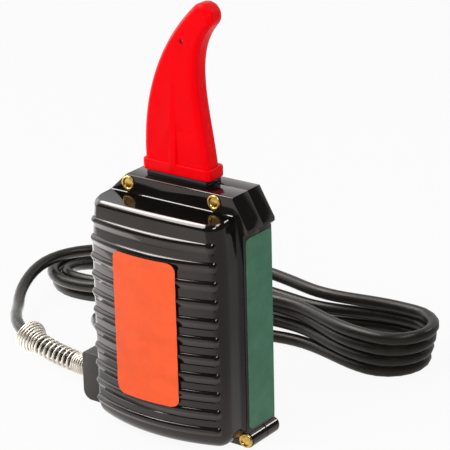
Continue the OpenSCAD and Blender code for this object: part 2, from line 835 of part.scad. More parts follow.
module neutral_lead() {
    color([0.9, 0.9, 0.88]) wire(concat(
        [[-stub_x + touch, strand_y, entry_z - strand_drop]], neutral_route,
        [[splice_x - touch, splice_ys[0], splice_z]]
    ), [0, 0, 1]);
}

module earth_lead() {
    color([0.2, 0.55, 0.25]) wire(concat(
        [[-stub_x + touch, 0, entry_z + strand_lift]], earth_route, [[-barrel_x - touch, 0, barrel_z]]
    ), [0, 1, 0]);
}

// Cord entry
module along_x(x0, x1, d) {
    translate([x0, 0, entry_z]) rotate([0, 90, 0]) cylinder(d = d, h = x1 - x0);
}

module cord_entry_block() {
    color([0.16, 0.16, 0.165]) difference() {
        union() {
            across(-entry_d / 2, entry_d / 2) polygon(concat(
                [[-relief_x, 0], [-relief_x, relief_z], [-side_x - touch, relief_z], [-side_x - touch, entry_h]],
                [[1 - entry_x, entry_h], [-entry_x, entry_h - 1]],
                arc([entry_r - entry_x, entry_r], entry_r, 180, 270, round_steps)
            ));
            translate([-side_x - join, -tongue_d / 2, entry_z - tongue_h / 2])
                cube([side_x + join - lip_x + join, tongue_d, tongue_h]);
            translate([-lip_x, -tongue_d / 2 - tongue_lip, entry_z - tongue_h / 2])
                cube([lip_t, tongue_d + 2 * tongue_lip, tongue_h + tongue_lip]);
        }
        along_x(-entry_x - 1, 0, bore_d);
        along_x(-entry_x - 1, -socket_x, socket_d);
    }
}

module entry_bushing() {
    color([0.1, 0.1, 0.1]) difference() {
        along_x(-socket_x + touch, lip_t - lip_x, bushing_d);
        along_x(-entry_x, 0, cord_d + 2 * bush_gap);
    }
}

module cord_stub() {
    color(cord_grey) along_x(-entry_x, -stub_x, cord_d);
}

module cord_clamp() {
    color([0.82, 0.8, 0.74]) difference() {
        union() {
            translate([clamp_x - clamp_len / 2, -clamp_y, floor_z + touch]) cube([clamp_len, 2 * clamp_y, clamp_h]);
            translate([clamp_x - clamp_len / 2, -ear_len, floor_z + touch]) cube([clamp_len, ear_len, ear_h]);
        }
        along_x(clamp_x - clamp_len, clamp_x + clamp_len, cord_d + 2 * bush_gap);
        translate([clamp_x, -ear_y, 0]) cylinder(d = screw_d + 2 * core_gap, h = entry_h);
    }
}

module clamp_screw() {
    top = floor_z + 2 * touch + ear_h;
    color(nickel) translate([clamp_x, -ear_y, 0]) {
        translate([0, 0, screw_low]) cylinder(d = screw_d, h = top - screw_low + join);
        translate([0, 0, top]) cylinder(d = screw_head_d - 0.6, h = screw_head_h);
    }
}

// Spring
function axis_at(s) =
    let(u = max(s - spring_straight, 0) / (spring_len - spring_straight))
    [-socket_x - s, spring_back * u * u, entry_z + spring_rise * u * u];
function along_spring(turn) =
    turn < tight_turns ? turn * tight_pitch :
    turn < tight_turns + open_turns ? tight_len + (turn - tight_turns) * open_pitch :
    tight_len + open_len + (turn - tight_turns - open_turns) * bell_pitch;
function turn_r(turn) = coil_r + (bell_r - coil_r) * smooth(max(turn - tight_turns - open_turns, 0) / bell_turns);
function spring_axis_dir(s) = unit(axis_at(s + 1) - axis_at(s - 1));
function spring_point(turn) =
    let(s = along_spring(turn) + wire_d / 2 + touch, a = 360 * turn, t = spring_axis_dir(s),
        n = unit(cross(t, [0, 1, 0])), b = cross(n, t))
    axis_at(s) + turn_r(turn) * (cos(a) * n + sin(a) * b);
spring_turned = [for (k = [0:all_turns * curl_rings]) spring_point(k / curl_rings)];
spring_last = len(spring_turned) - 1;
spring_path = concat(
    [spring_turned[0] - wire_d * unit(spring_turned[1] - spring_turned[0])],
    spring_turned,
    [spring_turned[spring_last] + wire_d * unit(spring_turned[spring_last] - spring_turned[spring_last - 1])]
);
spring_ups = concat(
    [spring_axis_dir(0)],
    [for (k = [0:all_turns * curl_rings]) spring_axis_dir(along_spring(k / curl_rings))],
    [spring_axis_dir(spring_len)]
);
echo(spring_least_gap = least_gap(spring_path, wire_d, curl_rings / 2 + 1));

module strain_relief_spring() {
    color(nickel) tube(spring_path, wire_d, 6, spring_ups);
}

// Hank
function share(v, span) = smooth(min(max((v - span[0]) / (span[1] - span[0]), 0), 1));
function left_r(k) = hank_outer - hank_step * hank_offsets[min(k, 7)];
function left_high(k) = cord_z + (k < 4 ? hank_layer : 0);
function drawn_in(x) =
    hank_waist * (1 + cos(180 * min(max((abs(x) - hank_flat) / (hank_half - hank_flat), 0), 1))) / 2;
function hank_run_at(k, u) =
    let(level = hank_levels[k], side = k % 2 == 0 ? 1 : -1, near_end = share(u, hank_close),
        x = (2 * u - 1) * hank_half + u * hank_lean[0] * level,
        r = left_r(k) + (fold_r - left_r(k)) * near_end,
        climb = cord_z + hank_layer * level - left_high(k))
    [x, side * (r - drawn_in(x)) + hank_lean[1] * level * near_end, left_high(k) + climb * share(u, hank_climb)];
function right_fold(k, a) =
    let(level = hank_levels[k])
    [hank_half + hank_lean[0] * level + fold_r * cos(a), fold_r * sin(a) + hank_lean[1] * level,
        cord_z + hank_layer * level];
function left_fold(k, a, g) =
    let(r = left_r(k) + (left_r(k + 1) - left_r(k)) * smooth(g))
    [-hank_half - r * cos(a), -r * sin(a), left_high(k) + (left_high(k + 1) - left_high(k)) * smooth(g)];
function hank_local(q) =
    let(k = min(floor(q), 7), f = q - k, outward = k % 2 == 0, g = 2 * f - 1, a = 90 - 180 * g)
    f < 0.5 ? hank_run_at(k, outward ? 2 * f : 1 - 2 * f) : outward ? right_fold(k, a) : left_fold(k, a, g);
function hank_point(q) =
    let(p = hank_local(q), c = cos(hank_turn), s = sin(hank_turn))
    [hank_at[0] + c * p[0] - s * p[1], hank_at[1] + s * p[0] + c * p[1], p[2]];
function hank_straight(q) = unit(hank_point(q + 0.01) - hank_point(q - 0.01)) * cord_d;
hank_turns = [
    for (k = [0:7]) for (f = ring_steps)
        let(q = k + f) if (q > hank_start + 0.05 && q < hank_end - 0.05) hank_point(q)
];
hank_first = hank_point(hank_start);
hank_final = hank_point(hank_end);
hank_path = concat(
    [hank_first, hank_first + hank_straight(hank_start)],
    hank_turns,
    [hank_final - hank_straight(hank_end), hank_final]
);
hank_samples = [for (i = [0:480]) hank_point(hank_start + (hank_end - hank_start) * i / 480)];
echo(hank_least_gap = least_gap(hank_samples, cord_d, 24));

module cord_hank() {
    color(cord_grey) tube(hank_path, cord_d, hank_sides, upright(hank_path));
}

// Free stretches of the cord
lead_path = concat(
    [for (s = [socket_depth:8:spring_len]) axis_at(s)],
    spline(concat(
        [axis_at(spring_len + 2)], lead_route, [hank_first - hank_straight(hank_start), hank_first]
    ), 2)
);
tail_path = spline(concat(
    [hank_final, hank_final + hank_straight(hank_end)], tail_route, [plug_at - [cord_d, 0, 0], plug_at]
), 2);

module cord_lead() {
    color(cord_grey) tube(lead_path, cord_d, cord_sides, upright(lead_path));
}

module cord_tail() {
    color(cord_grey) tube(tail_path, cord_d, cord_sides, upright(tail_path));
}

// Plug
blade_z = -4.2;

module plug_body() {
    r = 4;
    color([0.1, 0.1, 0.1]) translate(plug_at) {
        translate([touch, 0, 0]) rotate([0, 90, 0]) cylinder(d1 = cord_d + 2, d2 = 13, h = relief_len);
        hull() for (y = [-1, 1]) for (z = [-1, 1]) {
            translate([relief_len - 1, y * (plug_w / 2 - r - 3), z * (plug_h / 2 - r - 3)]) rotate([0, 90, 0])
                cylinder(r = r, h = 1, $fn = 24);
            translate([relief_len + 8, y * (plug_w / 2 - r), z * (plug_h / 2 - r)]) rotate([0, 90, 0])
                cylinder(r = r, h = plug_len - 8, $fn = 24);
        }
    }
}

module plug_blades() {
    color(brass) translate(plug_at) for (s = [-1, 1])
        translate([relief_len + plug_len + touch, s * blade_span / 2 - blade_t / 2, blade_z - blade_w / 2])
            cube([blade_len, blade_t, blade_w]);
}

module plug_earth_pin() {
    tip = 1;
    color(brass) translate(plug_at + [relief_len + plug_len + touch, 0, blade_z + earth_rise]) rotate([0, 90, 0]) {
        cylinder(d = earth_d, h = blade_len + earth_extra - tip);
        translate([0, 0, blade_len + earth_extra - tip]) cylinder(d1 = earth_d, d2 = earth_d - 2 * tip, h = tip);
    }
}

front_shell();
rear_shell();
case_rivets();
front_label();
side_label();
probe_boot();
neck_sleeve();
core_laminations();
core_pins();
earth_saddle();
earth_screw();
earth_terminal();
bobbin();
winding();
winding_tape();
coil_leads();
cord_entry_block();
entry_bushing();
strain_relief_spring();
cord_stub();
cord_clamp();
clamp_screw();
line_lead();
neutral_lead();
earth_lead();
splice_caps();
cord_lead();
cord_hank();
cord_tail();
plug_body();
plug_blades();
plug_earth_pin();
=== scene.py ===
import math

import bmesh
import bpy
from mathutils import Matrix, Vector


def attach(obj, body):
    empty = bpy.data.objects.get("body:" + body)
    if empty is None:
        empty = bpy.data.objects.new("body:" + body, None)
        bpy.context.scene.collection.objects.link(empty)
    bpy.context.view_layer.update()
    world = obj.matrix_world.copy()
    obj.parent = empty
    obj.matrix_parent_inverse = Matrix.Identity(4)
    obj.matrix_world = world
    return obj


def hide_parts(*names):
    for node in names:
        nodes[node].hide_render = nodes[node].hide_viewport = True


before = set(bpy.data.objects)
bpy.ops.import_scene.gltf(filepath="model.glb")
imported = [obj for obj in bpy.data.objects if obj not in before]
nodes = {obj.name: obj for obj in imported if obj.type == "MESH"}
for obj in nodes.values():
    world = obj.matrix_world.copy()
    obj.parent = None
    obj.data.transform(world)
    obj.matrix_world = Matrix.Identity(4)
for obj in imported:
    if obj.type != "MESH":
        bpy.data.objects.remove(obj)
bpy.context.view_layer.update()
scene = bpy.context.scene
scene.view_settings.view_transform = "Standard"
mm = 0.001
print("stage: frame loaded,", len(nodes), "solids")


# Camera, at the angle of the photograph
camera = {
    "azimuth": 36.27, "elevation": 20.9, "roll": -1.42, "distance": 1046.84, "target": (14.29, 10.49, 98.26),
    "focalPixels": 2278.96, "picturePixels": 450, "sensor": 36,
}


def addCamera(c):
    a, e, r = (math.radians(c[k]) for k in ("azimuth", "elevation", "roll"))
    right = Vector((math.cos(a), math.sin(a), 0))
    back = Vector((math.sin(a) * math.cos(e), -math.cos(a) * math.cos(e), math.sin(e)))
    up = back.cross(right)
    tiltedRight = math.cos(r) * right + math.sin(r) * up
    tiltedUp = -math.sin(r) * right + math.cos(r) * up
    place = (Vector(c["target"]) + c["distance"] * back) * mm
    data = bpy.data.cameras.new("camera")
    data.sensor_width = c["sensor"]
    data.lens = c["focalPixels"] / c["picturePixels"] * c["sensor"]
    data.clip_start, data.clip_end = 0.05, 20
    view = bpy.data.objects.new("camera", data)
    turn = Matrix((tiltedRight, tiltedUp, back)).transposed().to_4x4()
    view.matrix_world = Matrix.Translation(place) @ turn
    scene.collection.objects.link(view)
    scene.camera = view


addCamera(camera)


# Small makers for meshes and paths
def newObject(name, data):
    made = bpy.data.objects.new(name, data)
    scene.collection.objects.link(made)
    return made


def meshFrom(name, points, faces, smooth=True):
    data = bpy.data.meshes.new(name)
    data.from_pydata([Vector(p) * mm for p in points], [], faces)
    work = bmesh.new()
    work.from_mesh(data)
    bmesh.ops.remove_doubles(work, verts=work.verts, dist=1e-7)
    bmesh.ops.recalc_face_normals(work, faces=work.faces)
    work.to_mesh(data)
    work.free()
    data.polygons.foreach_set("use_smooth", [smooth] * len(data.polygons))
    return newObject(name, data)


def bakeModifiers(piece):
    graph = bpy.context.evaluated_depsgraph_get()
    baked = bpy.data.meshes.new_from_object(piece.evaluated_get(graph))
    piece.modifiers.clear()
    old = piece.data
    piece.data = baked
    bpy.data.meshes.remove(old)


def bevelEdges(piece, width, segments, angle=30):
    bevel = piece.modifiers.new("bevel", "BEVEL")
    bevel.width = width * mm
    bevel.segments = segments
    bevel.limit_method = "ANGLE"
    bevel.angle_limit = math.radians(angle)
    bakeModifiers(piece)


def bevelApart(piece, width, seamY, seamShare):
    work = bmesh.new()
    work.from_mesh(piece.data)
    layer = work.edges.layers.float.new("bevel_weight_edge")
    for edge in work.edges:
        ends = [abs(v.co.y - seamY * mm) < 0.01 * mm for v in edge.verts]
        edge[layer] = seamShare if all(ends) else 0 if any(ends) else 1
    work.to_mesh(piece.data)
    work.free()
    bevel = piece.modifiers.new("bevel", "BEVEL")
    bevel.width = width * mm
    bevel.segments = 3
    bevel.limit_method = "WEIGHT"
    bakeModifiers(piece)


def combine(piece, other, how):
    join = piece.modifiers.new("join", "BOOLEAN")
    join.operation = how
    join.solver = "EXACT"
    join.object = other
    bakeModifiers(piece)
    bpy.data.objects.remove(other)


def shadeSoft(piece, angle):
    piece.data.polygons.foreach_set("use_smooth", [True] * len(piece.data.polygons))
    work = bmesh.new()
    work.from_mesh(piece.data)
    for edge in work.edges:
        edge.smooth = len(edge.link_faces) == 2 and edge.calc_face_angle(0) < math.radians(angle)
    work.to_mesh(piece.data)
    work.free()


def blockBetween(name, low, high):
    (x0, y0, z0), (x1, y1, z1) = low, high
    points = [(x, y, z) for z in (z0, z1) for y in (y0, y1) for x in (x0, x1)]
    faces = [(0, 2, 3, 1), (4, 5, 7, 6), (0, 1, 5, 4), (2, 6, 7, 3), (0, 4, 6, 2), (1, 3, 7, 5)]
    return meshFrom(name, points, faces, smooth=False)


def ringFaces(rings, n):
    faces = []
    for r in range(rings - 1):
        a, b = r * n, (r + 1) * n
        faces += [(a + k, a + (k + 1) % n, b + (k + 1) % n, b + k) for k in range(n)]
    return faces + [tuple(range(n - 1, -1, -1)), tuple(range((rings - 1) * n, rings * n))]


def plateAlong(axis, name, outline, low, high):
    n = len(outline)
    points = [(u, t, v) if axis == "Y" else (u, v, t) for t in (low, high) for u, v in outline]
    faces = [tuple(range(n)), tuple(range(2 * n - 1, n - 1, -1))]
    faces += [(i, i + n, (i + 1) % n + n, (i + 1) % n) for i in range(n)]
    return meshFrom(name, points, faces if axis == "Y" else [f[::-1] for f in faces], smooth=False)


def arc(cx, cy, r, a0, a1, n):
    angles = [math.radians(a0 + (a1 - a0) * i / n) for i in range(n + 1)]
    return [(cx + r * math.cos(a), cy + r * math.sin(a)) for a in angles]


def lathed(name, profile, turns, axis, at):
    points, faces = [], []
    for i in range(turns):
        a = 2 * math.pi * i / turns
        for r, h in profile:
            c, s = r * math.cos(a), r * math.sin(a)
            p = (h, c, s) if axis == "X" else (c, h, s)
            points.append(tuple(p[k] + at[k] for k in range(3)))
    m = len(profile)
    for i in range(turns):
        j = (i + 1) % turns
        faces += [(i * m + k, j * m + k, j * m + k + 1, i * m + k + 1) for k in range(m - 1)]
    return meshFrom(name, points, faces)


def spline(points, n):
    pts = [Vector(p) for p in points]
    out = []
    for i in range(len(pts) - 1):
        a, b, c, d = pts[max(i - 1, 0)], pts[i], pts[i + 1], pts[min(i + 2, len(pts) - 1)]
        bend, twist = 2 * a - 5 * b + 4 * c - d, 3 * b - a - 3 * c + d
        for k in range(n):
            t = k / n
            out.append(0.5 * (2 * b + (c - a) * t + bend * t * t + twist * t ** 3))
    return out + [pts[-1]]


def evenSteps(path, step):
    lengths = [0]
    for a, b in zip(path, path[1:]):
        lengths.append(lengths[-1] + (b - a).length)
    count = max(2, round(lengths[-1] / step))
    out, k = [], 0
    for i in range(count + 1):
        want = lengths[-1] * i / count
        while k < len(path) - 2 and lengths[k + 1] < want:
            k += 1
        span = lengths[k + 1] - lengths[k]
        out.append(path[k].lerp(path[k + 1], (want - lengths[k]) / span if span else 0))
    return out, lengths[-1]


def sweptTube(name, path, radius, sides, ups):
    points, n = [], len(path)
    for i in range(n):
        t = (path[min(i + 1, n - 1)] - path[max(i - 1, 0)]).normalized()
        side = t.cross(ups[i]).normalized()
        over = side.cross(t)
        for k in range(sides):
            a = 2 * math.pi * k / sides
            points.append(path[i] + radius * (math.cos(a) * side + math.sin(a) * over))
    return meshFrom(name, points, ringFaces(n, sides))


def smoothStep(t):
    t = min(max(t, 0), 1)
    return t * t * (3 - 2 * t)


# Finishes
def nodeTree(name):
    made = bpy.data.materials.new(name)
    made.use_nodes = True
    tree = made.node_tree
    return made, tree, tree.nodes["Principled BSDF"]


def addNoise(tree, scale, detail, stretch):
    coords = tree.nodes.new("ShaderNodeTexCoord")
    noise = tree.nodes.new("ShaderNodeTexNoise")
    noise.inputs["Scale"].default_value = scale
    noise.inputs["Detail"].default_value = detail
    if stretch:
        mapping = tree.nodes.new("ShaderNodeMapping")
        mapping.inputs["Scale"].default_value = stretch
        tree.links.new(coords.outputs["Object"], mapping.inputs["Vector"])
        tree.links.new(mapping.outputs["Vector"], noise.inputs["Vector"])
    else:
        tree.links.new(coords.outputs["Object"], noise.inputs["Vector"])
    return noise.outputs["Fac"]


def addRamp(tree, source, stops):
    ramp = tree.nodes.new("ShaderNodeValToRGB")
    for element, (place, colour) in zip(ramp.color_ramp.elements, stops):
        element.position = place
        element.color = (*colour, 1)
    tree.links.new(source, ramp.inputs["Fac"])
    return ramp.outputs["Color"]


def addRange(tree, source, low, high, fromLow=0.3, fromHigh=0.7):
    spread = tree.nodes.new("ShaderNodeMapRange")
    for key, value in (("From Min", fromLow), ("From Max", fromHigh), ("To Min", low), ("To Max", high)):
        spread.inputs[key].default_value = value
    tree.links.new(source, spread.inputs["Value"])
    return spread.outputs["Result"]


def addBump(tree, source, strength, distance, target):
    bump = tree.nodes.new("ShaderNodeBump")
    bump.inputs["Strength"].default_value = strength
    bump.inputs["Distance"].default_value = distance * mm
    tree.links.new(source, bump.inputs["Height"])
    tree.links.new(bump.outputs["Normal"], target)
    return bump


def addMath(tree, how, first, second=None):
    step = tree.nodes.new("ShaderNodeMath")
    step.operation = how
    tree.links.new(first, step.inputs[0])
    if isinstance(second, (int, float)):
        step.inputs[1].default_value = second
    elif second is not None:
        tree.links.new(second, step.inputs[1])
    return step.outputs[0]


def addDot(tree, source, way):
    dot = tree.nodes.new("ShaderNodeVectorMath")
    dot.operation = "DOT_PRODUCT"
    dot.inputs[1].default_value = way
    tree.links.new(tree.nodes.new("ShaderNodeTexCoord").outputs[source], dot.inputs[0])
    return dot.outputs["Value"]


def makeFinish(name, f):
    made, tree, shader = nodeTree(name)
    vary, stretch = f.get("vary", 0.12), f.get("stretch")
    dark = tuple(v * (1 - vary) for v in f["colour"])
    light = tuple(min(1, v * (1 + vary)) for v in f["colour"])
    patches = addNoise(tree, f.get("patchScale", 40), 3, stretch)
    tree.links.new(addRamp(tree, patches, [(0.3, dark), (0.7, light)]), shader.inputs["Base Color"])
    smear = addNoise(tree, f.get("smearScale", 90), 5, stretch)
    tree.links.new(addRange(tree, smear, *f["rough"]), shader.inputs["Roughness"])
    shader.inputs["Metallic"].default_value = f.get("metal", 0)
    shader.inputs["IOR"].default_value = 1.5
    shader.inputs["Specular IOR Level"].default_value = f.get("specular", 0.5)
    shader.inputs["Specular Tint"].default_value = (*f.get("tint", (1, 1, 1)), 1)
    grain = addNoise(tree, f.get("grainScale", 900), 6, stretch)
    bump = addBump(tree, grain, f.get("bump", 0.1), f.get("bumpDepth", 0.05), shader.inputs["Normal"])
    if "lines" in f:  # the stack of laminations shows through the skin's narrow sides
        pitch, strength, depth = f["lines"]
        across = addDot(tree, "Object", (0, 2 * math.pi / (pitch * mm), 0))
        addBump(tree, addMath(tree, "SINE", across), strength, depth, bump.inputs["Normal"])
    return made


finishes = {
    "caseBlack": {
        "colour": (0.0055, 0.0048, 0.0045), "rough": (0.07, 0.14), "specular": 0.62, "tint": (1, 0.89, 0.84),
        "vary": 0.3, "bump": 0.05, "grainScale": 260, "bumpDepth": 0.03,
    },
    "rivetBrass": {
        "colour": (0.88, 0.52, 0.145), "rough": (0.24, 0.42), "metal": 1,
        "vary": 0.3, "patchScale": 500, "smearScale": 900, "bump": 0.25,
    },
    "bootRed": {
        "colour": (0.82, 0.0012, 0.0045), "rough": (0.26, 0.38), "specular": 0.1, "tint": (1, 0.15, 0.18),
        "vary": 0.05, "patchScale": 60, "bump": 0.12, "grainScale": 500, "lines": (1.35, 0.35, 0.12),
    },
    "neckBlack": {"colour": (0.014, 0.014, 0.014), "rough": (0.2, 0.35), "vary": 0.2},
    "labelOrange": {
        "colour": (0.86, 0.11, 0.034), "rough": (0.45, 0.58), "specular": 0.12,
        "vary": 0.055, "patchScale": 130, "bump": 0.1, "grainScale": 400,
    },
    "labelGreen": {
        "colour": (0.045, 0.15, 0.085), "rough": (0.34, 0.46), "specular": 0.3,
        "vary": 0.12, "patchScale": 160, "bump": 0.08, "grainScale": 500,
    },
    "blockGrey": {
        "colour": (0.05, 0.044, 0.041), "rough": (0.5, 0.65), "specular": 0.35,
        "vary": 0.2, "bump": 0.3, "grainScale": 1600,
    },
    "springNickel": {
        "colour": (0.74, 0.68, 0.59), "rough": (0.38, 0.5), "metal": 1,
        "vary": 0.2, "patchScale": 300, "smearScale": 700, "bump": 0.12,
    },
    "cordRubber": {
        "colour": (0.0125, 0.0105, 0.0085), "rough": (0.3, 0.4), "specular": 0.27, "tint": (1, 0.94, 0.88),
        "vary": 0.25, "patchScale": 120, "bump": 0.2, "grainScale": 1400,
    },
    "plugBlack": {
        "colour": (0.015, 0.015, 0.015), "rough": (0.4, 0.55), "vary": 0.2, "bump": 0.25, "grainScale": 1500,
    },
    "bladeBrass": {"colour": (0.68, 0.5, 0.22), "rough": (0.18, 0.32), "metal": 1, "vary": 0.15, "patchScale": 200},
    "coreIron": {"colour": (0.22, 0.22, 0.23), "rough": (0.35, 0.5), "metal": 1, "vary": 0.2, "patchScale": 150},
    "platedSteel": {"colour": (0.6, 0.59, 0.57), "rough": (0.22, 0.36), "metal": 1, "vary": 0.12},
    "bobbinIvory": {"colour": (0.62, 0.56, 0.4), "rough": (0.4, 0.5), "vary": 0.08},
    "windingCopper": {
        "colour": (0.5, 0.17, 0.06), "rough": (0.2, 0.3), "metal": 0.8, "vary": 0.15, "stretch": (1, 1, 60),
    },
    "tapeYellow": {"colour": (0.72, 0.5, 0.08), "rough": (0.3, 0.4), "vary": 0.08, "stretch": (1, 1, 20)},
    "leadBrown": {"colour": (0.16, 0.05, 0.02), "rough": (0.3, 0.4)},
    "leadBlack": {"colour": (0.015, 0.015, 0.015), "rough": (0.3, 0.4)},
    "leadWhite": {"colour": (0.7, 0.7, 0.66), "rough": (0.3, 0.4), "vary": 0.05},
    "leadGreen": {"colour": (0.02, 0.2, 0.04), "rough": (0.3, 0.4)},
    "spliceIvory": {"colour": (0.66, 0.55, 0.28), "rough": (0.35, 0.45), "vary": 0.08},
    "bushingRubber": {"colour": (0.015, 0.015, 0.015), "rough": (0.5, 0.65), "vary": 0.2},
}
finishOf = {name: makeFinish(name, f) for name, f in finishes.items()}


def dress(piece, finish):
    piece.data.materials.clear()
    piece.data.materials.append(finishOf[finish])


print("stage: finishes made,", len(finishOf))


# Cord: one flex from the block, through the spring, into the hank and on to the plug
cordRoute = {
    "diameter": 6.2, "entry": (-58.4, 0, 12.5), "floorGap": 0.1, "step": 5.5, "hankSteps": 430, "fineness": 4,
    "inSpring": (0, 46, 3),
    "lead": [
        (-112, 8, 17.6), (-121, 15, 17), (-132, 27, 14.5), (-142, 40, 12), (-151, 52, 12),
        (-157, 64, 14), (-160, 77, 16.6), (-160, 90, 17.6), (-156, 102, 17.8), (-148, 112, 17.8),
        (-137, 121, 17.8), (-124, 127.5, 18.2), (-110, 130.5, 19), (-96, 130.5, 20.2), (-81, 128, 21.6),
    ],
    "tail": [(-91.5, 88, 3.6), (-100.5, 78.5, 5), (-104, 66, 7.2), (-100.5, 53.5, 9.4), (-91.5, 44.5, 11)],
    "plug": (-77, 41, 11.4),
}
springFacts = {  # tight, open and bellTurns: turns and pitch
    "wire": 1.3, "outside": 10.8, "bell": 16.6, "flare": 1.2, "socket": 5, "straight": 3,
    "tight": (8, 2.0), "open": (8, 3.1), "bellTurns": (5, 1.95),
    "close": 1.36, "rise": 4.5, "back": 4.5, "perTurn": 20, "sides": 10,
}
hankFacts = {
    "centre": (-50, 108), "turn": -0.5, "run": 184, "fold": 19, "step": 4, "layer": 6.8, "waist": 14, "flat": 36,
    "offsets": [0, 1, 2, 3, 3, 2, 1, 0], "levels": [3, 3, 2, 2, 1, 1, 0, 0], "lean": (2.4, -1.6),
    "climb": (0.04, 0.48), "closing": (0.45, 0.95), "start": 0.2, "end": 7.31,
}

socketX = cordRoute["entry"][0] + springFacts["socket"]
tightLen, openLen, bellLen = (math.prod(springFacts[k]) for k in ("tight", "open", "bellTurns"))
springLen = tightLen + openLen + bellLen


def springAxis(s):
    straight = springFacts["socket"] + springFacts["straight"]
    u = max(s - straight, 0) / (springLen - straight)
    return Vector((socketX - s, springFacts["back"] * u * u, cordRoute["entry"][2] + springFacts["rise"] * u * u))


def hankShare(v, span):
    return smoothStep((v - span[0]) / (span[1] - span[0]))


def hankLeft(k):
    h, k = hankFacts, min(k, 7)
    floorZ = cordRoute["diameter"] / 2 + cordRoute["floorGap"]
    return h["fold"] + h["step"] * (3 - h["offsets"][k]), floorZ + (h["layer"] if k < 4 else 0)


def hankLocal(q):
    h = hankFacts
    k = min(int(q), 7)
    f = q - k
    outward = k % 2 == 0
    half = h["run"] / 2
    level = h["levels"][k]
    leftR, leftHigh = hankLeft(k)
    rightHigh = cordRoute["diameter"] / 2 + cordRoute["floorGap"] + h["layer"] * level
    if f < 0.5:  # a run from end to end
        u = 2 * f if outward else 1 - 2 * f
        closing = hankShare(u, h["closing"])
        x = (2 * u - 1) * half + u * h["lean"][0] * level
        away = min(max((abs(x) - h["flat"]) / (half - h["flat"]), 0), 1)
        r = leftR + (h["fold"] - leftR) * closing - h["waist"] * (1 + math.cos(math.pi * away)) / 2
        y = (r if outward else -r) + h["lean"][1] * level * closing
        return x, y, leftHigh + (rightHigh - leftHigh) * hankShare(u, h["climb"])
    g = 2 * f - 1  # the fold after it
    a = math.radians(90 - 180 * g)
    if outward:
        r = h["fold"]
        x = half + h["lean"][0] * level + r * math.cos(a)
        return x, r * math.sin(a) + h["lean"][1] * level, rightHigh
    nextR, nextHigh = hankLeft(k + 1)
    r = leftR + (nextR - leftR) * smoothStep(g)
    return -half - r * math.cos(a), -r * math.sin(a), leftHigh + (nextHigh - leftHigh) * smoothStep(g)


def hankPoint(q):
    x, y, z = hankLocal(q)
    h = hankFacts
    c, s = math.cos(math.radians(h["turn"])), math.sin(math.radians(h["turn"]))
    return Vector((h["centre"][0] + c * x - s * y, h["centre"][1] + s * x + c * y, z))


def hankHeading(q):
    return (hankPoint(q + 0.01) - hankPoint(q - 0.01)).normalized() * cordRoute["diameter"]


def cordPath():
    h, c = hankFacts, cordRoute
    first, final = hankPoint(h["start"]), hankPoint(h["end"])
    path = [springAxis(springFacts["socket"] + s) for s in range(*c["inSpring"])]
    start = [springAxis(springLen + 2)] + c["lead"] + [first - hankHeading(h["start"]), first]
    path += spline(start, c["fineness"])
    span, count = h["end"] - h["start"], c["hankSteps"]
    path += [hankPoint(h["start"] + span * i / count) for i in range(1, count)]
    plug = Vector(c["plug"])
    end = [final, final + hankHeading(h["end"])] + c["tail"] + [plug - Vector((c["diameter"], 0, 0)), plug]
    path += spline(end, c["fineness"])
    return evenSteps(path, c["step"])


def makeCord():
    path, length = cordPath()
    data = bpy.data.curves.new("mains_cord", "CURVE")
    data.dimensions = "3D"
    strand = data.splines.new("POLY")
    strand.points.add(len(path) - 1)
    for point, p in zip(strand.points, path):
        point.co = (*(p * mm), 1)
    data.bevel_depth = cordRoute["diameter"] / 2 * mm
    data.bevel_resolution = 5
    data.use_fill_caps = True
    strand.use_smooth = True
    return newObject("mains_cord", data), length


mainsCord, cordLength = makeCord()
dress(mainsCord, "cordRubber")
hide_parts("cord_lead", "cord_hank", "cord_tail")
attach(mainsCord, "root")
print("stage: cord laid, %.2f m" % (cordLength / 1000))


# Spring strain relief
def makeSpring():
    s = springFacts
    closed = round(tightLen / s["close"])
    flared = round(bellLen / s["close"])
    opened = closed + s["open"][0]
    coilR, bellR = (s["outside"] - s["wire"]) / 2, (s["bell"] - s["wire"]) / 2

    def along(turn):
        if turn < closed:
            return turn * tightLen / closed
        if turn < opened:
            return tightLen + (turn - closed) * s["open"][1]
        return tightLen + openLen + (turn - opened) * bellLen / flared

    path, ups = [], []
    for k in range((opened + flared) * s["perTurn"] + 1):
        turn = k / s["perTurn"]
        at = along(turn) + s["wire"] / 2 + 0.02
        t = (springAxis(at + 1) - springAxis(at - 1)).normalized()
        n = t.cross(Vector((0, 1, 0))).normalized()
        b = n.cross(t)
        r = coilR + (bellR - coilR) * smoothStep(s["flare"] * (turn - opened) / flared)
        a = 2 * math.pi * turn
        path.append(springAxis(at) + r * (math.cos(a) * n + math.sin(a) * b))
        ups.append(t)
    return sweptTube("spring_wire", path, s["wire"] / 2, s["sides"], ups)


springWire = makeSpring()
dress(springWire, "springNickel")
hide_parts("strain_relief_spring")
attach(springWire, "root")
print("stage: spring wound")


# Case, front half: a beaded bulge on a flange, hollow inside
caseFacts = {
    "top": 122, "side": 40.4, "shoulder": 42.4, "flange": 10.8, "seam": 1, "wall": 2.8, "edge": 0.7, "seamEdge": 0.32,
    "topLeft": -25.8, "leftZ": 106.6, "topRight": 34.3, "rightZ": 108, "shoulderFace": 1.6, "shoulderEase": 2,
    "footX": 39, "footZ": 3.9, "bossR": 3.9, "bossEdge": (0.5, 0.6), "overlap": 0.02, "holeR": 2.1, "holeReach": 14,
    "rivets": [(-24.3, 118), (24.3, 118), (-39, 3.9), (39, 3.9)], "window": ((-43, -7, 5.7), (-34, 7, 19.3)),
    "neckHole": ((-15.3, -5.8, 109), (15.3, 5.8, 123)), "lipHole": ((-17.5, -8, 109), (17.5, 8, 115.9)),
    "hollowZ": (5.8, 103), "hollowY": (2, -19), "hollowShrink": 0.93, "hollowBack": 0.7, "hollowTurn": 20,
    "upperHollow": ((-30, -22.5, 90), (30, 2, 109.7)),
}
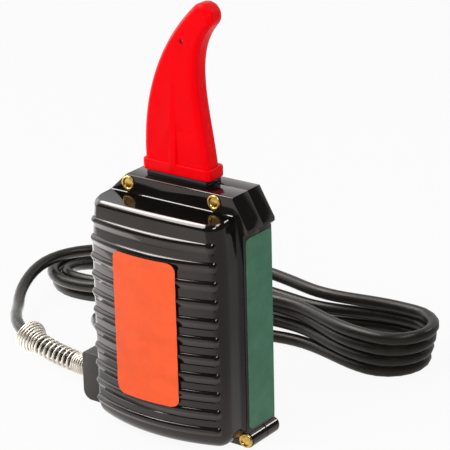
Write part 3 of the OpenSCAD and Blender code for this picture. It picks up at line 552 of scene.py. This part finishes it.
bulgeFacts = {
    "halfWidth": 38, "front": 33.1, "root": 10.3, "cornerR": 8, "cornerY": 19.4,
    "planSteps": (26, 44, 10), "low": 3, "high": 113, "bottomRound": 8,
    "leanFrom": 90, "leanPower": 1.2, "edgeZ": 110.6, "topZ": 113.15,
    "facet": (1.2, 1.4), "facetCurve": (0.25, 0.55, 0.2), "facetRows": 16, "shelfRows": (-0.15, -0.5),
    "topX": 26.8, "topY": 17.6, "topR": 7.8, "topCrown": 0.6, "flare": 2.2, "flareTop": 0.3, "flareEnd": 0.98,
    "shelfSlope": 0.6, "shelfFrom": 100, "shelfOver": 12, "shelfLevel": 0.3, "shelfDepth": 22,
    "shelfFillet": ((11.5, 0.0), (11.1, 0.08), (10.85, 0.3), (10.3, 0.6)),
    "beadTop": 103, "beadPitch": 9, "beads": 11, "beadOut": 1.4, "beadUp": 2.2, "beadDown": 3.4,
    "beadEnd": 45, "tip": 2.4, "tipHeight": 0.4,
    "rowsBelow": (1.5, 1.08, 1, 0.88, 0.75, 0.62, 0.5, 0.38, 0.26, 0.13, 0),
    "rowsAbove": (0.2, 0.38, 0.54, 0.68, 0.8, 0.9, 0.97, 1, 1.1), "rowStep": 0.6, "topRows": 20,
}


def flangeOutline():
    c = caseFacts
    lowRight, lowLeft = c["rightZ"] - c["shoulderFace"], c["leftZ"] - c["shoulderFace"]
    return [
        (-c["footX"], 0), (c["footX"], 0), (c["side"], c["footZ"]), (c["side"], lowRight - c["shoulderEase"]),
        (c["shoulder"], lowRight), (c["shoulder"], c["rightZ"]), (c["topRight"], c["top"]), (c["topLeft"], c["top"]),
        (-c["shoulder"], c["leftZ"]), (-c["shoulder"], lowLeft),
        (-c["side"], lowLeft - c["shoulderEase"]), (-c["side"], c["footZ"]),
    ]


def crownRadius():
    b = bulgeFacts
    cx, back = b["halfWidth"] - b["cornerR"], b["front"] - b["cornerY"]
    return (cx * cx + back * back - b["cornerR"] ** 2) / (2 * (back - b["cornerR"]))


def bulgePlan():
    b, crown = bulgeFacts, crownRadius()
    cx, back = b["halfWidth"] - b["cornerR"], b["front"] - b["cornerY"]
    half = math.degrees(math.atan2(cx, crown - back))
    endX = b["topX"] + b["topR"] * math.sin(math.radians(half))
    endY = b["topY"] + b["topR"] * math.cos(math.radians(half))
    right = []  # from the crown's middle to the flange: x, y, normal, angle left before the side, x and y at the shelf
    steps, cornerSteps, sideSteps = b["planSteps"]
    for i in range(steps):
        t = i / steps
        a = math.radians(half * i / steps)
        s, c = math.sin(a), math.cos(a)
        topY = -endY - b["topCrown"] * (1 - t * t)
        right.append((crown * s, crown - b["front"] - crown * c, s, -c, 90, endX * t, topY))
    for i in range(cornerSteps + 1):
        a = half + (90 - half) * i / cornerSteps
        s, c = math.sin(math.radians(a)), math.cos(math.radians(a))
        x, y = cx + b["cornerR"] * s, -b["cornerY"] - b["cornerR"] * c
        right.append((x, y, s, -c, 90 - a, b["topX"] + b["topR"] * s, -b["topY"] - b["topR"] * c))
    for i in range(1, sideSteps + 1):  # along the side, with a fillet to the flange
        y = -b["cornerY"] + (b["cornerY"] - b["root"]) * i / sideSteps
        t = max(0, (y + caseFacts["flange"] + b["flare"]) / b["flare"])
        flare = b["flare"] * (1 - math.sqrt(1 - min(t, b["flareEnd"]) ** 2))
        topX = b["topX"] + b["topR"] + flare * b["flareTop"]
        topY = -b["topY"] + (b["topY"] - b["root"]) * i / sideSteps
        right.append((b["halfWidth"] + flare, y, 1, 0, -1, topX, topY))
    left = [(-x, y, -nx, ny, angle, -tx, ty) for x, y, nx, ny, angle, tx, ty in right[:0:-1]]
    return left + right


def beadShare(angleLeft):
    b = bulgeFacts
    if angleLeft < 0:
        return 0
    s = math.radians(angleLeft - b["beadEnd"]) * (b["cornerR"] + b["beadOut"]) / b["tip"]
    if s <= 0:
        return 0
    return 1 if s >= 1 else math.sqrt(1 - (1 - s) ** 2)


def beadProfile(t):
    if abs(t) >= 1:
        return 0
    if t > 0:
        return math.sqrt(1 - t * t)
    return 0.6 + 0.6 * t - 0.2 * t * t + 0.4 * (1 + t) ** 2  # a slope with a slight groove at its foot


def bulgeRows():
    b = bulgeFacts
    rows = []  # how far out, height, and the height of the bead that the row belongs to
    for a in range(0, 91, 9):
        s, c = math.sin(math.radians(a)), math.cos(math.radians(a))
        rows.append((-b["bottomRound"] * (1 - s), b["low"] + b["bottomRound"] * (1 - c), None))
    marks = []
    for i in range(b["beads"] - 1, -1, -1):
        z = b["beadTop"] - b["beadPitch"] * i
        marks += [(0, z - b["beadDown"] * t, z) for t in b["rowsBelow"]]
        marks += [(0, z + b["beadUp"] * t, z) for t in b["rowsAbove"]]
    marks += [(0, marks[-1][1] + b["rowStep"] * i, None) for i in range(1, b["topRows"])]
    rows += [m for m in marks if rows[-1][1] + 0.1 < m[1] < b["edgeZ"] - 0.1]
    rise, count = b["topZ"] - b["edgeZ"], b["facetRows"]
    rows += [(0, b["edgeZ"] + rise * i / count, None) for i in range(count + 1)]
    return rows + [(out, b["topZ"], None) for out in b["shelfRows"]]


def leanBack(z):
    b = bulgeFacts
    share = min(1, max(0, (z - b["leanFrom"]) / (b["edgeZ"] - b["leanFrom"]))) ** b["leanPower"]
    t = max(0, (z - b["edgeZ"]) / (b["topZ"] - b["edgeZ"]))
    first, second, third = b["facetCurve"]
    return share, 1 - first * t - second * t * t - third * t ** 3


def makeBulge():
    b = bulgeFacts
    plan, rows = bulgePlan(), bulgeRows()
    points, n = [], len(plan)
    for rowOut, z, bead in rows:
        lean, rim = leanBack(z)  # the wall leans back to a smaller, flatter plan, with a facet round the shelf
        for x, y, nx, ny, angleLeft, topX, topY in plan:
            out = rowOut
            share = 0 if bead is None else beadShare(angleLeft)
            if share > 0:
                reach = b["beadUp"] if z > bead else b["beadDown"]
                t = (z - bead) / (reach * (b["tipHeight"] + (1 - b["tipHeight"]) * share))
                out += b["beadOut"] * share * beadProfile(t)
            facet = rim * (b["facet"][0] - b["facet"][1] * ny)
            px = x + nx * out + (topX + nx * facet - x) * lean
            py = min(y + ny * out + (topY + ny * facet - y) * lean, -b["root"])
            level = b["shelfLevel"] - (-py - caseFacts["flange"]) / b["shelfDepth"]
            drop = b["shelfSlope"] * smoothStep((z - b["shelfFrom"]) / b["shelfOver"]) * level
            points.append((px, py, z + drop))
    rings, shelf = [r * n for r in range(len(rows))], points[-n:]
    shelfZ = b["high"] + b["shelfSlope"] * b["shelfLevel"]
    for depth, rise in b["shelfFillet"]:  # fillet where the shelf meets the flange
        rings.append(len(points))
        points += [(x, max(y, -depth), shelfZ + rise if y < -depth else z) for x, y, z in shelf]
    faces = []
    for a, c in zip(rings, rings[1:]):
        faces += [(a + i, a + i + 1, c + i + 1, c + i) for i in range(n - 1)]
    base = len(points)
    points += [(x, -b["root"], b["low"]) for x, y, z in points[:n]]
    faces += [(i + 1, i, base + i, base + i + 1) for i in range(n - 1)]
    backLoop = [base + i for i in range(n)] + [r + n - 1 for r in rings]
    backLoop += [rings[-1] + i for i in range(n - 2, -1, -1)] + rings[-2::-1]
    faces.append(tuple(backLoop))
    return meshFrom("case_front", points, faces)


def addBosses(shell, near, way):
    c = caseFacts
    r, (nearEdge, farEdge), far = c["bossR"], c["bossEdge"], way * (c["flange"] + c["overlap"])
    profile = [(0, near), (r - nearEdge, near), (r, c["seam"] + way * nearEdge)]
    profile += [(r, way * (c["flange"] - farEdge)), (r - farEdge, far), (0, far)]
    for s in (-1, 1):
        boss = lathed("boss", profile[::-way], 40, "Y", (s * c["footX"], 0, c["footZ"]))  # from the back forwards
        combine(shell, boss, "UNION")


def cutOpenings(shell):
    c = caseFacts
    for name in ("neckHole", "lipHole", "window"):
        combine(shell, blockBetween(name, *c[name]), "DIFFERENCE")
    r, reach = c["holeR"], c["holeReach"]
    for x, z in c["rivets"]:
        hole = lathed("hole", [(0, -reach), (r, -reach), (r, reach), (0, reach)], 24, "Y", (x, 0, z))
        combine(shell, hole, "DIFFERENCE")


def makeCaseFront():
    c = caseFacts
    shell = makeBulge()
    flange = plateAlong("Y", "flange", flangeOutline(), -c["flange"], c["seam"])
    bevelApart(flange, c["edge"], c["seam"], c["seamEdge"])
    combine(shell, flange, "UNION")
    addBosses(shell, c["seam"], -1)
    inner, (y0, y1) = bulgeFacts["halfWidth"] - c["wall"], c["hollowY"]
    curve = []
    for x, y, _, _, angleLeft, _, _ in bulgePlan()[::-1]:
        if angleLeft >= c["hollowTurn"]:
            curve.append((x * c["hollowShrink"], y + c["wall"] + c["hollowBack"]))
    hollow = [(inner, y0), (inner, y1)] + curve + [(-inner, y1), (-inner, y0)]
    combine(shell, plateAlong("Z", "hollow", hollow, *c["hollowZ"]), "DIFFERENCE")
    combine(shell, blockBetween("upperHollow", *c["upperHollow"]), "DIFFERENCE")
    cutOpenings(shell)
    shadeSoft(shell, 40)
    return shell


caseFront = makeCaseFront()
dress(caseFront, "caseBlack")
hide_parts("front_shell")
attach(caseFront, "root")
print("stage: front of the case moulded,", len(caseFront.data.polygons), "faces")


# Case, rear half
rearFacts = {
    "rootX": 32, "faceX": 30, "sunk": 3, "out": 22, "low": 6, "high": 108, "round": 4,
    "hollowY": (0, 8), "hollowZ": (5.8, 109.7), "humpHollow": ((-27.2, 0, 10), (27.2, 19.2, 103)),
}


def makeCaseRear():
    c, r = caseFacts, rearFacts
    near = c["seam"] + c["overlap"]
    shell = plateAlong("Y", "case_rear", flangeOutline(), near, c["flange"])
    bevelApart(shell, c["edge"], near, c["seamEdge"])
    draft = r["rootX"] - r["faceX"]
    points = []
    for z, slope in ((r["low"], draft), (r["high"], -draft)):
        points += [(s * r["rootX"], c["flange"] - r["sunk"], z) for s in (-1, 1)]
        points += [(s * r["faceX"], r["out"], z + slope) for s in (-1, 1)]
    sides = [(0, 1, 3, 2), (4, 6, 7, 5), (0, 4, 5, 1), (2, 3, 7, 6), (0, 2, 6, 4), (1, 5, 7, 3)]
    hump = meshFrom("hump", points, sides, smooth=False)
    bevelEdges(hump, r["round"], 6)
    combine(shell, hump, "UNION")
    addBosses(shell, near, 1)
    inner, (y0, y1), (z0, z1) = bulgeFacts["halfWidth"] - c["wall"], r["hollowY"], r["hollowZ"]
    combine(shell, blockBetween("hollow", (-inner, y0, z0), (inner, y1, z1)), "DIFFERENCE")
    combine(shell, blockBetween("humpHollow", *r["humpHollow"]), "DIFFERENCE")
    cutOpenings(shell)
    shadeSoft(shell, 40)
    return shell


caseRear = makeCaseRear()
dress(caseRear, "caseBlack")
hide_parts("rear_shell")
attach(caseRear, "root")
print("stage: rear of the case moulded,", len(caseRear.data.polygons), "faces")


# Rivets: rolled rim, dished middle at the front, clinched ring at the back
rivetFacts = {"rim": 3.5, "dish": 2.2, "depth": 0.66, "head": 1.0, "shank": 2.0}


def makeRivets():
    r, f = rivetFacts, caseFacts["flange"]
    face, rim, dish = -f - r["head"], r["rim"], r["dish"]
    front = [(0, face + 0.36), (1.1, face + 0.42), (1.8, face + 0.58), (dish, face + r["depth"])]
    front += [(dish + 0.12, face + 0.4), (dish + 0.3, face + 0.1), (dish + 0.5, face)]
    front += [(rim - 0.4, face + 0.02), (rim - 0.12, face + 0.18), (rim, face + 0.5)]
    back = [(rim - 0.4, f), (rim, f + 0.3), (rim - 0.2, f + 0.7), (2.6, f + 1)]
    back += [(1.8, f + 0.7), (1.3, f), (1.2, f - 3), (0, f - 3)]
    profile = front + [(rim, -f), (r["shank"], -f), (r["shank"], f)] + back
    parts = [lathed("rivet", profile, 40, "Y", (x, 0, z)) for x, z in caseFacts["rivets"]]
    whole = bmesh.new()
    for part in parts:
        whole.from_mesh(part.data)
        bpy.data.objects.remove(part)
    data = bpy.data.meshes.new("case_rivet_set")
    whole.to_mesh(data)
    whole.free()
    made = newObject("case_rivet_set", data)
    shadeSoft(made, 50)
    return made


rivets = makeRivets()
dress(rivets, "rivetBrass")
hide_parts("case_rivets")
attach(rivets, "root")
print("stage: rivets set")


# Labels: bare stickers, one over the beads and one on the side
labelFacts = {
    "width": 35.3, "height": 70.6, "low": 23.5, "corner": 4, "mesh": (1.6, 0.75),
    "sag": 0.22, "lift": 0.03, "thick": 0.25,
    "sideWidth": 20, "sideHeight": 93.9, "sideLow": 9.1, "sideCorner": 2.5, "sideMesh": (2, 0.6), "sideLift": 0.02,
}


def roundedSheet(w, h, r, stepX, stepZ):
    rows = []
    count, across = round(h / stepZ), round(w / stepX)
    for k in range(count + 1):
        z, half = h * k / count, w / 2
        edge = min(z, h - z)
        if edge < r:
            half -= r - math.sqrt(max(r * r - (r - edge) ** 2, 0))
        rows.append([(-half + 2 * half * i / across, z) for i in range(across + 1)])
    return rows


def sheetMesh(name, rows, place, thick):
    n = len(rows[0])
    outer = [place(x, z, thick) for row in rows for x, z in row]
    inner = [place(x, z, 0) for row in rows for x, z in row]
    count = len(outer)
    faces = []
    for r in range(len(rows) - 1):
        for i in range(n - 1):
            a = r * n + i
            faces.append((a, a + 1, a + n + 1, a + n))
            faces.append((count + a, count + a + n, count + a + n + 1, count + a + 1))
    rim = list(range(n)) + [r * n + n - 1 for r in range(1, len(rows))]
    rim += [(len(rows) - 1) * n + i for i in range(n - 2, -1, -1)] + [r * n for r in range(len(rows) - 2, 0, -1)]
    faces += [(a, count + a, count + b, b) for a, b in zip(rim, rim[1:] + rim[:1])]
    sheet = meshFrom(name, outer + inner, faces)
    shadeSoft(sheet, 50)
    return sheet


def makeFrontLabel():
    f, b = labelFacts, bulgeFacts
    crown = crownRadius() + b["beadOut"]

    def place(x, z, out):
        height = f["low"] + z
        nearest = (height - b["beadTop"]) / b["beadPitch"]
        sag = f["sag"] * smoothStep(abs(nearest - round(nearest)) * 2)
        r = crown + f["lift"] - sag + out
        a = x / crown
        return (r * math.sin(a), crown - b["beadOut"] - b["front"] - r * math.cos(a), height)

    return sheetMesh("front_sticker", roundedSheet(f["width"], f["height"], f["corner"], *f["mesh"]), place, f["thick"])


def makeSideLabel():
    f = labelFacts

    def place(x, z, out):
        return (caseFacts["side"] + f["sideLift"] + out, x, f["sideLow"] + z)

    rows = roundedSheet(f["sideWidth"], f["sideHeight"], f["sideCorner"], *f["sideMesh"])
    return sheetMesh("side_sticker", rows, place, f["thick"])


frontSticker = makeFrontLabel()
dress(frontSticker, "labelOrange")
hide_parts("front_label")
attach(frontSticker, "root")
sideSticker = makeSideLabel()
dress(sideSticker, "labelGreen")
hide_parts("side_label")
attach(sideSticker, "root")
print("stage: stickers laid")


# Probe boot: a soft red horn with a collar, hollow for the core
coreRoom = (13.6, 4.1)
bootFacts = {
    "foot": 124.6, "low": 0.3, "half": 5.3, "edge": 3.3, "skin": 1.3, "hollowLow": 1.5, "hollowHigh": 4,
    "centre": [(-1, 1.4), (-4.3, 31.45), (-2.5, 58.8), (14.4, 75.8)], "widths": [18.1, 18, 6.9, 6.2],
    "collarX": (-20, 18.4), "collarY": 6.6, "collarHigh": 5.4, "collarR": 3, "collarEdge": 0.9,
    "edgeSteps": 8, "flatRing": 0.5, "steps": 36, "tipArc": (10, 170), "tipSteps": 16,
    "strip": (-4.2, -0.2), "stripLow": 1.2, "stripDrop": 0.6, "stripTop": 150, "stripIn": 4.6,
    "stripProud": (0.04, 0.02), "stripEdge": 0.25, "pit": (4, 188.1), "pitR": 1.1, "pitDeep": 2,
}


def bezier(p, t):
    u = 1 - t
    return [u ** 3 * a + 3 * t * u ** 2 * b + 3 * t * t * u * c + t ** 3 * d for a, b, c, d in zip(*p)]


def hornSide(t, inset, side):
    p, u = bootFacts["centre"], 1 - t
    x, z = bezier(p, t)
    dx, dz = (3 * u ** 2 * (b - a) + 6 * t * u * (c - b) + 3 * t * t * (d - c) for a, b, c, d in zip(*p))
    size = math.hypot(dx, dz)
    w = bezier([(v,) for v in bootFacts["widths"]], t)[0] - inset
    return (x + side * w * dz / size, z - side * w * dx / size), math.degrees(math.atan2(-dx, dz))


def hornOutline(inset, low):
    b, steps = bootFacts, bootFacts["steps"]
    right = [hornSide(i / steps, inset, 1)[0] for i in range(steps + 1)]
    angle = hornSide(1, inset, 1)[1]
    tip = arc(*b["centre"][3], b["widths"][3] - inset, *(angle + a for a in b["tipArc"]), b["tipSteps"])
    left = [hornSide(i / steps, inset, -1)[0] for i in range(steps, -1, -1)]
    outline = [(right[0][0], low)] + right + tip + left + [(left[-1][0], low)]
    return [(x, z + b["foot"]) for x, z in outline]


def makeHorn():
    b = bootFacts
    layers = [(b["edge"] + b["flatRing"], -b["half"])]
    for k in range(b["edgeSteps"] + 1):  # from the front face round to the side
        a = math.radians(90 * k / b["edgeSteps"])
        layers.append((b["edge"] * (1 - math.sin(a)), b["edge"] * (1 - math.cos(a)) - b["half"]))
    layers += [(inset, -y) for inset, y in layers[::-1]]
    points = [(x, y, z) for inset, y in layers for x, z in hornOutline(inset, b["low"])]
    return meshFrom("probe_cover", points, ringFaces(len(layers), len(points) // len(layers)))


def makeCollar():
    b = bootFacts
    (x0, x1), y, r = b["collarX"], b["collarY"] - b["collarR"], b["collarR"]
    corners = [(x1 - r, -y, 270), (x1 - r, y, 0), (x0 + r, y, 90), (x0 + r, -y, 180)]
    outline = [p for cx, cy, a in corners for p in arc(cx, cy, r, a, a + 90, 8)]
    collar = plateAlong("Z", "collar", outline, b["foot"], b["foot"] + b["collarHigh"])
    bevelEdges(collar, b["collarEdge"], 4, 50)
    return collar


def makeStrip():
    b = bootFacts
    low, rise = b["foot"] + b["stripLow"], b["foot"] + b["collarHigh"] - b["stripDrop"]
    face, crest = -b["collarY"] - b["stripProud"][0], -b["half"] - b["stripProud"][1]
    top, back = b["stripTop"], -b["stripIn"]
    wedge = [(face, low), (face, rise), (crest, top), (back, top), (back, low)]
    points = [(x, y, z) for x in b["strip"] for y, z in wedge]
    sides = [(i, (i + 1) % 5, 5 + (i + 1) % 5, 5 + i) for i in range(5)]
    strip = meshFrom("strip", points, [(4, 3, 2, 1, 0), (5, 6, 7, 8, 9)] + sides, smooth=False)
    bevelEdges(strip, b["stripEdge"], 2)
    return strip


def makeBoot():
    b = bootFacts
    horn = makeHorn()
    combine(horn, makeCollar(), "UNION")
    combine(horn, makeStrip(), "UNION")
    f, r, deep = -b["half"], b["pitR"], b["pitDeep"] - b["half"]
    pit = [(0, deep), (r, deep), (r, f + 0.25), (r + 0.25, f - 0.05), (r + 0.3, f - 0.5), (0, f - 0.5)]
    combine(horn, lathed("pit", pit, 28, "Y", (b["pit"][0], 0, b["pit"][1])), "DIFFERENCE")
    x, y = coreRoom
    combine(horn, plateAlong("Y", "coreSpace", hornOutline(b["skin"], b["hollowLow"]), -y, y), "DIFFERENCE")
    foot = blockBetween("coreFoot", (-x, -y, b["foot"] - 1), (x, y, b["foot"] + b["hollowHigh"]))
    combine(horn, foot, "DIFFERENCE")
    shadeSoft(horn, 40)
    return horn


boot = makeBoot()
dress(boot, "bootRed")
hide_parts("probe_boot")
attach(boot, "root")
print("stage: boot formed,", len(boot.data.polygons), "faces")


# Neck: a sleeve round the core, with a wider band between the case and the boot
neckFacts = {
    "x": 15.1, "y": 5.6, "low": 111.7, "lip": 2.2, "lipHigh": 115.7,
    "bandX": (-17.2, 16.2), "bandY": 5.9, "bandLow": 122.04, "bandEdge": 0.3, "top": 124.55,
}


def makeNeck():
    k = neckFacts
    sleeve = blockBetween("neck_cover", (-k["x"], -k["y"], k["low"]), (k["x"], k["y"], k["top"] - 0.1))
    wide, deep = k["x"] + k["lip"], k["y"] + k["lip"]
    combine(sleeve, blockBetween("neckLip", (-wide, -deep, k["low"] + 0.05), (wide, deep, k["lipHigh"])), "UNION")
    x0, x1 = k["bandX"]
    band = blockBetween("neckBand", (x0, -k["bandY"], k["bandLow"]), (x1, k["bandY"], k["top"]))
    bevelEdges(band, k["bandEdge"], 2)
    combine(sleeve, band, "UNION")
    x, y = coreRoom
    combine(sleeve, blockBetween("coreWay", (-x, -y, k["low"] - 1), (x, y, k["top"] + 1)), "DIFFERENCE")
    shadeSoft(sleeve, 40)
    return sleeve


neckCover = makeNeck()
dress(neckCover, "neckBlack")
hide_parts("neck_sleeve")
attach(neckCover, "root")
print("stage: neck made")


# Cord entry block
blockFacts = {
    "x0": -58.4, "x1": -40.42, "y": 10, "high": 25, "reliefX": -43.1, "reliefZ": 8,
    "corner": 1.2, "round": 5, "edge": 0.8,
    "tongue": ((-41, -6.8, 5.9), (-34.5, 6.8, 19.1)), "lip": ((-35, -8.4, 5.9), (-33, 8.4, 20.7)),
    "axisZ": 12.5, "boreR": 4.6, "socketR": (5.9, 5.7), "socketX": (-60, -57, -56.6, -52),
}


def makeEntryBlock():
    b = blockFacts
    outline = [(b["reliefX"], 0), (b["reliefX"], b["reliefZ"]), (b["x1"], b["reliefZ"]), (b["x1"], b["high"])]
    outline += [(b["x0"] + b["corner"], b["high"]), (b["x0"], b["high"] - b["corner"])]
    outline += arc(b["x0"] + b["round"], b["round"], b["round"], 180, 270, 10)
    body = plateAlong("Y", "entry_block", outline, -b["y"], b["y"])
    bevelEdges(body, b["edge"], 3)
    for name in ("tongue", "lip"):
        combine(body, blockBetween(name, *b[name]), "UNION")
    (mouth, seat), (x0, x1, x2, x3), r = b["socketR"], b["socketX"], b["boreR"]
    at = (0, 0, b["axisZ"])
    combine(body, lathed("bore", [(0, x0), (r, x0), (r, 0), (0, 0)], 40, "X", at), "DIFFERENCE")
    socket = [(0, x0), (mouth, x0), (mouth, x1), (seat, x2), (seat, x3), (0, x3)]
    combine(body, lathed("socket", socket, 48, "X", at), "DIFFERENCE")
    shadeSoft(body, 40)
    return body


entryBlock = makeEntryBlock()
dress(entryBlock, "blockGrey")
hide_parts("cord_entry_block")
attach(entryBlock, "root")
print("stage: entry block made")


# Plug at the cord's end
plugFacts = {
    "at": cordRoute["plug"], "relief": 20, "length": 30, "width": 26, "height": 22, "corner": 0.45, "sides": 40,
    "collar": ((0.02, 4.1), (1.5, 4.4)), "ribs": 5, "ribStart": 2.5, "ribPitch": 3.4, "ribR": 4.5, "ribGrow": 0.42,
    "ribShape": ((0, 0), (0.5, 0.5), (1.9, 0.6), (2.4, 0.1)),
}


def makePlug():
    p = plugFacts
    cx, cy, cz = p["at"]
    marks = [(x, r, r) for x, r in p["collar"]]  # along the plug: place, half width, half height
    for k in range(p["ribs"]):  # ribs of the moulded relief
        x0 = p["ribStart"] + k * p["ribPitch"]
        r = p["ribR"] + p["ribGrow"] * k
        marks += [(x0 + dx, r + dr, r + dr) for dx, dr in p["ribShape"]]
    x0, end = p["relief"], p["relief"] + p["length"]
    w, h = p["width"] / 2, p["height"] / 2
    marks += [(x0, 7.4, 7.2), (x0 + 2.5, 8.8, 8), (x0 + 8, w - 0.6, h - 0.5), (x0 + 11, w, h), (x0 + 15, w - 0.9, h)]
    marks += [(x0 + 22, w - 0.9, h), (x0 + 26, w, h), (end - 1.2, w, h), (end - 0.3, w - 0.5, h - 0.5)]
    marks.append((end, w - 1.4, h - 1.4))
    points = []
    for x, hw, hh in marks:
        power = 1 if x < x0 + 1 else p["corner"]
        for k in range(p["sides"]):
            a = 2 * math.pi * k / p["sides"]
            c, s = math.cos(a), math.sin(a)
            y, z = (math.copysign(abs(v) ** power, v) for v in (c, s))
            points.append((cx + x, cy + hw * y, cz + hh * z))
    plug = meshFrom("plug_moulding", points, ringFaces(len(marks), p["sides"]))
    shadeSoft(plug, 45)
    return plug


plug = makePlug()
dress(plug, "plugBlack")
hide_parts("plug_body")
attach(plug, "root")
print("stage: plug moulded")


# The remaining solids keep their shape and take a finish
plainPieces = {
    "core_laminations": "coreIron", "core_pins": "platedSteel",
    "earth_saddle": "platedSteel", "earth_screw": "rivetBrass", "earth_terminal": "platedSteel",
    "bobbin": "bobbinIvory", "winding": "windingCopper", "winding_tape": "tapeYellow", "coil_leads": "leadBrown",
    "entry_bushing": "bushingRubber", "cord_stub": "cordRubber",
    "cord_clamp": "spliceIvory", "clamp_screw": "platedSteel",
    "line_lead": "leadBlack", "neutral_lead": "leadWhite", "earth_lead": "leadGreen", "splice_caps": "spliceIvory",
    "plug_blades": "bladeBrass", "plug_earth_pin": "bladeBrass",
}
for node, finish in plainPieces.items():
    dress(nodes[node], finish)
print("stage: inner solids dressed,", len(plainPieces))


# Floor, light and background
stageFacts = {
    "floor": 6, "shade": 0.8, "floorRough": 0.9, "floorSpecular": 0.1, "keep": 0.92,
    "paintedReflection": (0.42, 1), "paintedReflectionSide": (-0.9, -0.1, 0), "paintedReflectionOver": (-0.12, 0.02),
    "sky": 0.5, "skySeen": (0.06, 1), "brightSide": (-0.7, 0.6, 0.2), "brightOver": (0.16, 0.45),
    "lowSide": (-0.9, -0.3, 0), "lowOver": (-0.1, 0.3), "horizon": (0.1, 0.22),
}


def rayShares(tree):
    path = tree.nodes.new("ShaderNodeLightPath")
    mirrored = addMath(tree, "MAXIMUM", path.outputs["Is Glossy Ray"], path.outputs["Is Transmission Ray"])
    return path.outputs["Is Camera Ray"], mirrored


def addMix(tree, share, first, second):
    mix = tree.nodes.new("ShaderNodeMixShader")
    tree.links.new(share, mix.inputs["Fac"])
    tree.links.new(first, mix.inputs[1])
    tree.links.new(second, mix.inputs[2])
    return mix.outputs["Shader"]


def makeFloor():
    f = stageFacts
    s = f["floor"] / 2
    data = bpy.data.meshes.new("floor")
    data.from_pydata([(-s, -s, 0), (s, -s, 0), (s, s, 0), (-s, s, 0)], [], [(0, 1, 2, 3)])
    floor = newObject("floor", data)
    made, tree, shader = nodeTree("paleFloor")
    shader.inputs["Base Color"].default_value = (f["shade"],) * 3 + (1,)
    shader.inputs["Roughness"].default_value = f["floorRough"]
    shader.inputs["Specular IOR Level"].default_value = f["floorSpecular"]
    glow = tree.nodes.new("ShaderNodeEmission")
    glow.inputs["Color"].default_value = (1, 1, 1, 1)
    seen, mirrored = rayShares(tree)
    # Painted reflection: in reflections the floor glows full white to the left and dims to 0.42 on the right, standing
    # in for a darker room on that side
    paintedReflectionDim = addRange(tree, addDot(tree, "Object", f["paintedReflectionSide"]), *f["paintedReflection"], *f["paintedReflectionOver"])
    share = addMath(tree, "MAXIMUM", addMath(tree, "MULTIPLY", seen, f["keep"]), mirrored)
    strength = addMath(tree, "MAXIMUM", seen, addMath(tree, "MULTIPLY", mirrored, paintedReflectionDim))
    tree.links.new(strength, glow.inputs["Strength"])
    surface = addMix(tree, share, shader.outputs["BSDF"], glow.outputs["Emission"])
    tree.links.new(surface, tree.nodes["Material Output"].inputs["Surface"])
    data.materials.append(made)


def makeWorld():
    f = stageFacts
    world = bpy.data.worlds.new("studio")
    scene.world = world
    world.use_nodes = True
    tree = world.node_tree
    plain = tree.nodes["Background"]
    white, mirror = tree.nodes.new("ShaderNodeBackground"), tree.nodes.new("ShaderNodeBackground")
    for back in (plain, white, mirror):
        back.inputs["Color"].default_value = (1, 1, 1, 1)
    plain.inputs["Strength"].default_value = f["sky"]
    bright, low, up = (addDot(tree, "Generated", way) for way in (f["brightSide"], f["lowSide"], (0, 0, 1)))
    high = addRange(tree, bright, *f["skySeen"], *f["brightOver"])
    side, near = addRange(tree, low, 0, 1, *f["lowOver"]), addRange(tree, up, 1, 0, *f["horizon"])
    band = addMath(tree, "MULTIPLY", side, near)
    tree.links.new(addMath(tree, "MAXIMUM", high, band), mirror.inputs["Strength"])
    seen, mirrored = rayShares(tree)
    first = addMix(tree, mirrored, plain.outputs["Background"], mirror.outputs["Background"])
    second = addMix(tree, seen, first, white.outputs["Background"])
    tree.links.new(second, tree.nodes["World Output"].inputs["Surface"])


lamps = {  # a card shows only in reflections, the other lamps only light
    "softbox": {"from": (-0.55, -0.25, 1.05), "size": (0.6, 0.45), "power": 8.5, "card": True},
    "backCard": {"from": (-0.75, 0.12, 1.2), "size": (0.6, 0.45), "power": 8, "card": True},
    "leftCard": {"from": (-0.95, 0, 0.5), "size": (0.9, 0.85), "power": 4.4, "card": True},
    "floorCard": {"from": (-0.3, 0.08, 0.002), "aim": (-0.3, 0.08, 1), "size": (0.4, 0.4), "power": 0.75, "card": True},
    "rightCard": {"from": (0.55, 0.9, 0.66), "size": (0.16, 0.16), "power": 1.2, "card": True},
    "tipCard": {"from": (0.42, 0.2, 1), "size": (0.26, 0.26), "power": 2.2, "card": True},
    "cornerCard": {"from": (0.55, -0.17, 0.85), "size": (0.22, 0.14), "power": 2.2, "card": True},
    "key": {"from": (-0.5, -0.9, 1.2), "size": (0.7, 0.7), "power": 8.8, "card": False},
    "fill": {"from": (0.9, -1.1, 0.5), "size": (0.7, 0.7), "power": 9.5, "card": False},
}


def addLamps():
    for name, l in lamps.items():
        aim = Vector(l.get("aim", (0, 0, 0.09)))
        data = bpy.data.lights.new(name, "AREA")
        data.shape = "RECTANGLE"
        data.size, data.size_y = l["size"]
        data.energy = l["power"]
        lamp = newObject(name, data)
        lamp.location = l["from"]
        lamp.rotation_euler = (aim - Vector(l["from"])).to_track_quat("-Z", "Y").to_euler()
        lamp.visible_camera = False
        lamp.visible_diffuse = not l["card"]
        lamp.visible_glossy = l["card"]


makeFloor()
makeWorld()
addLamps()
print("stage: floor and light set")
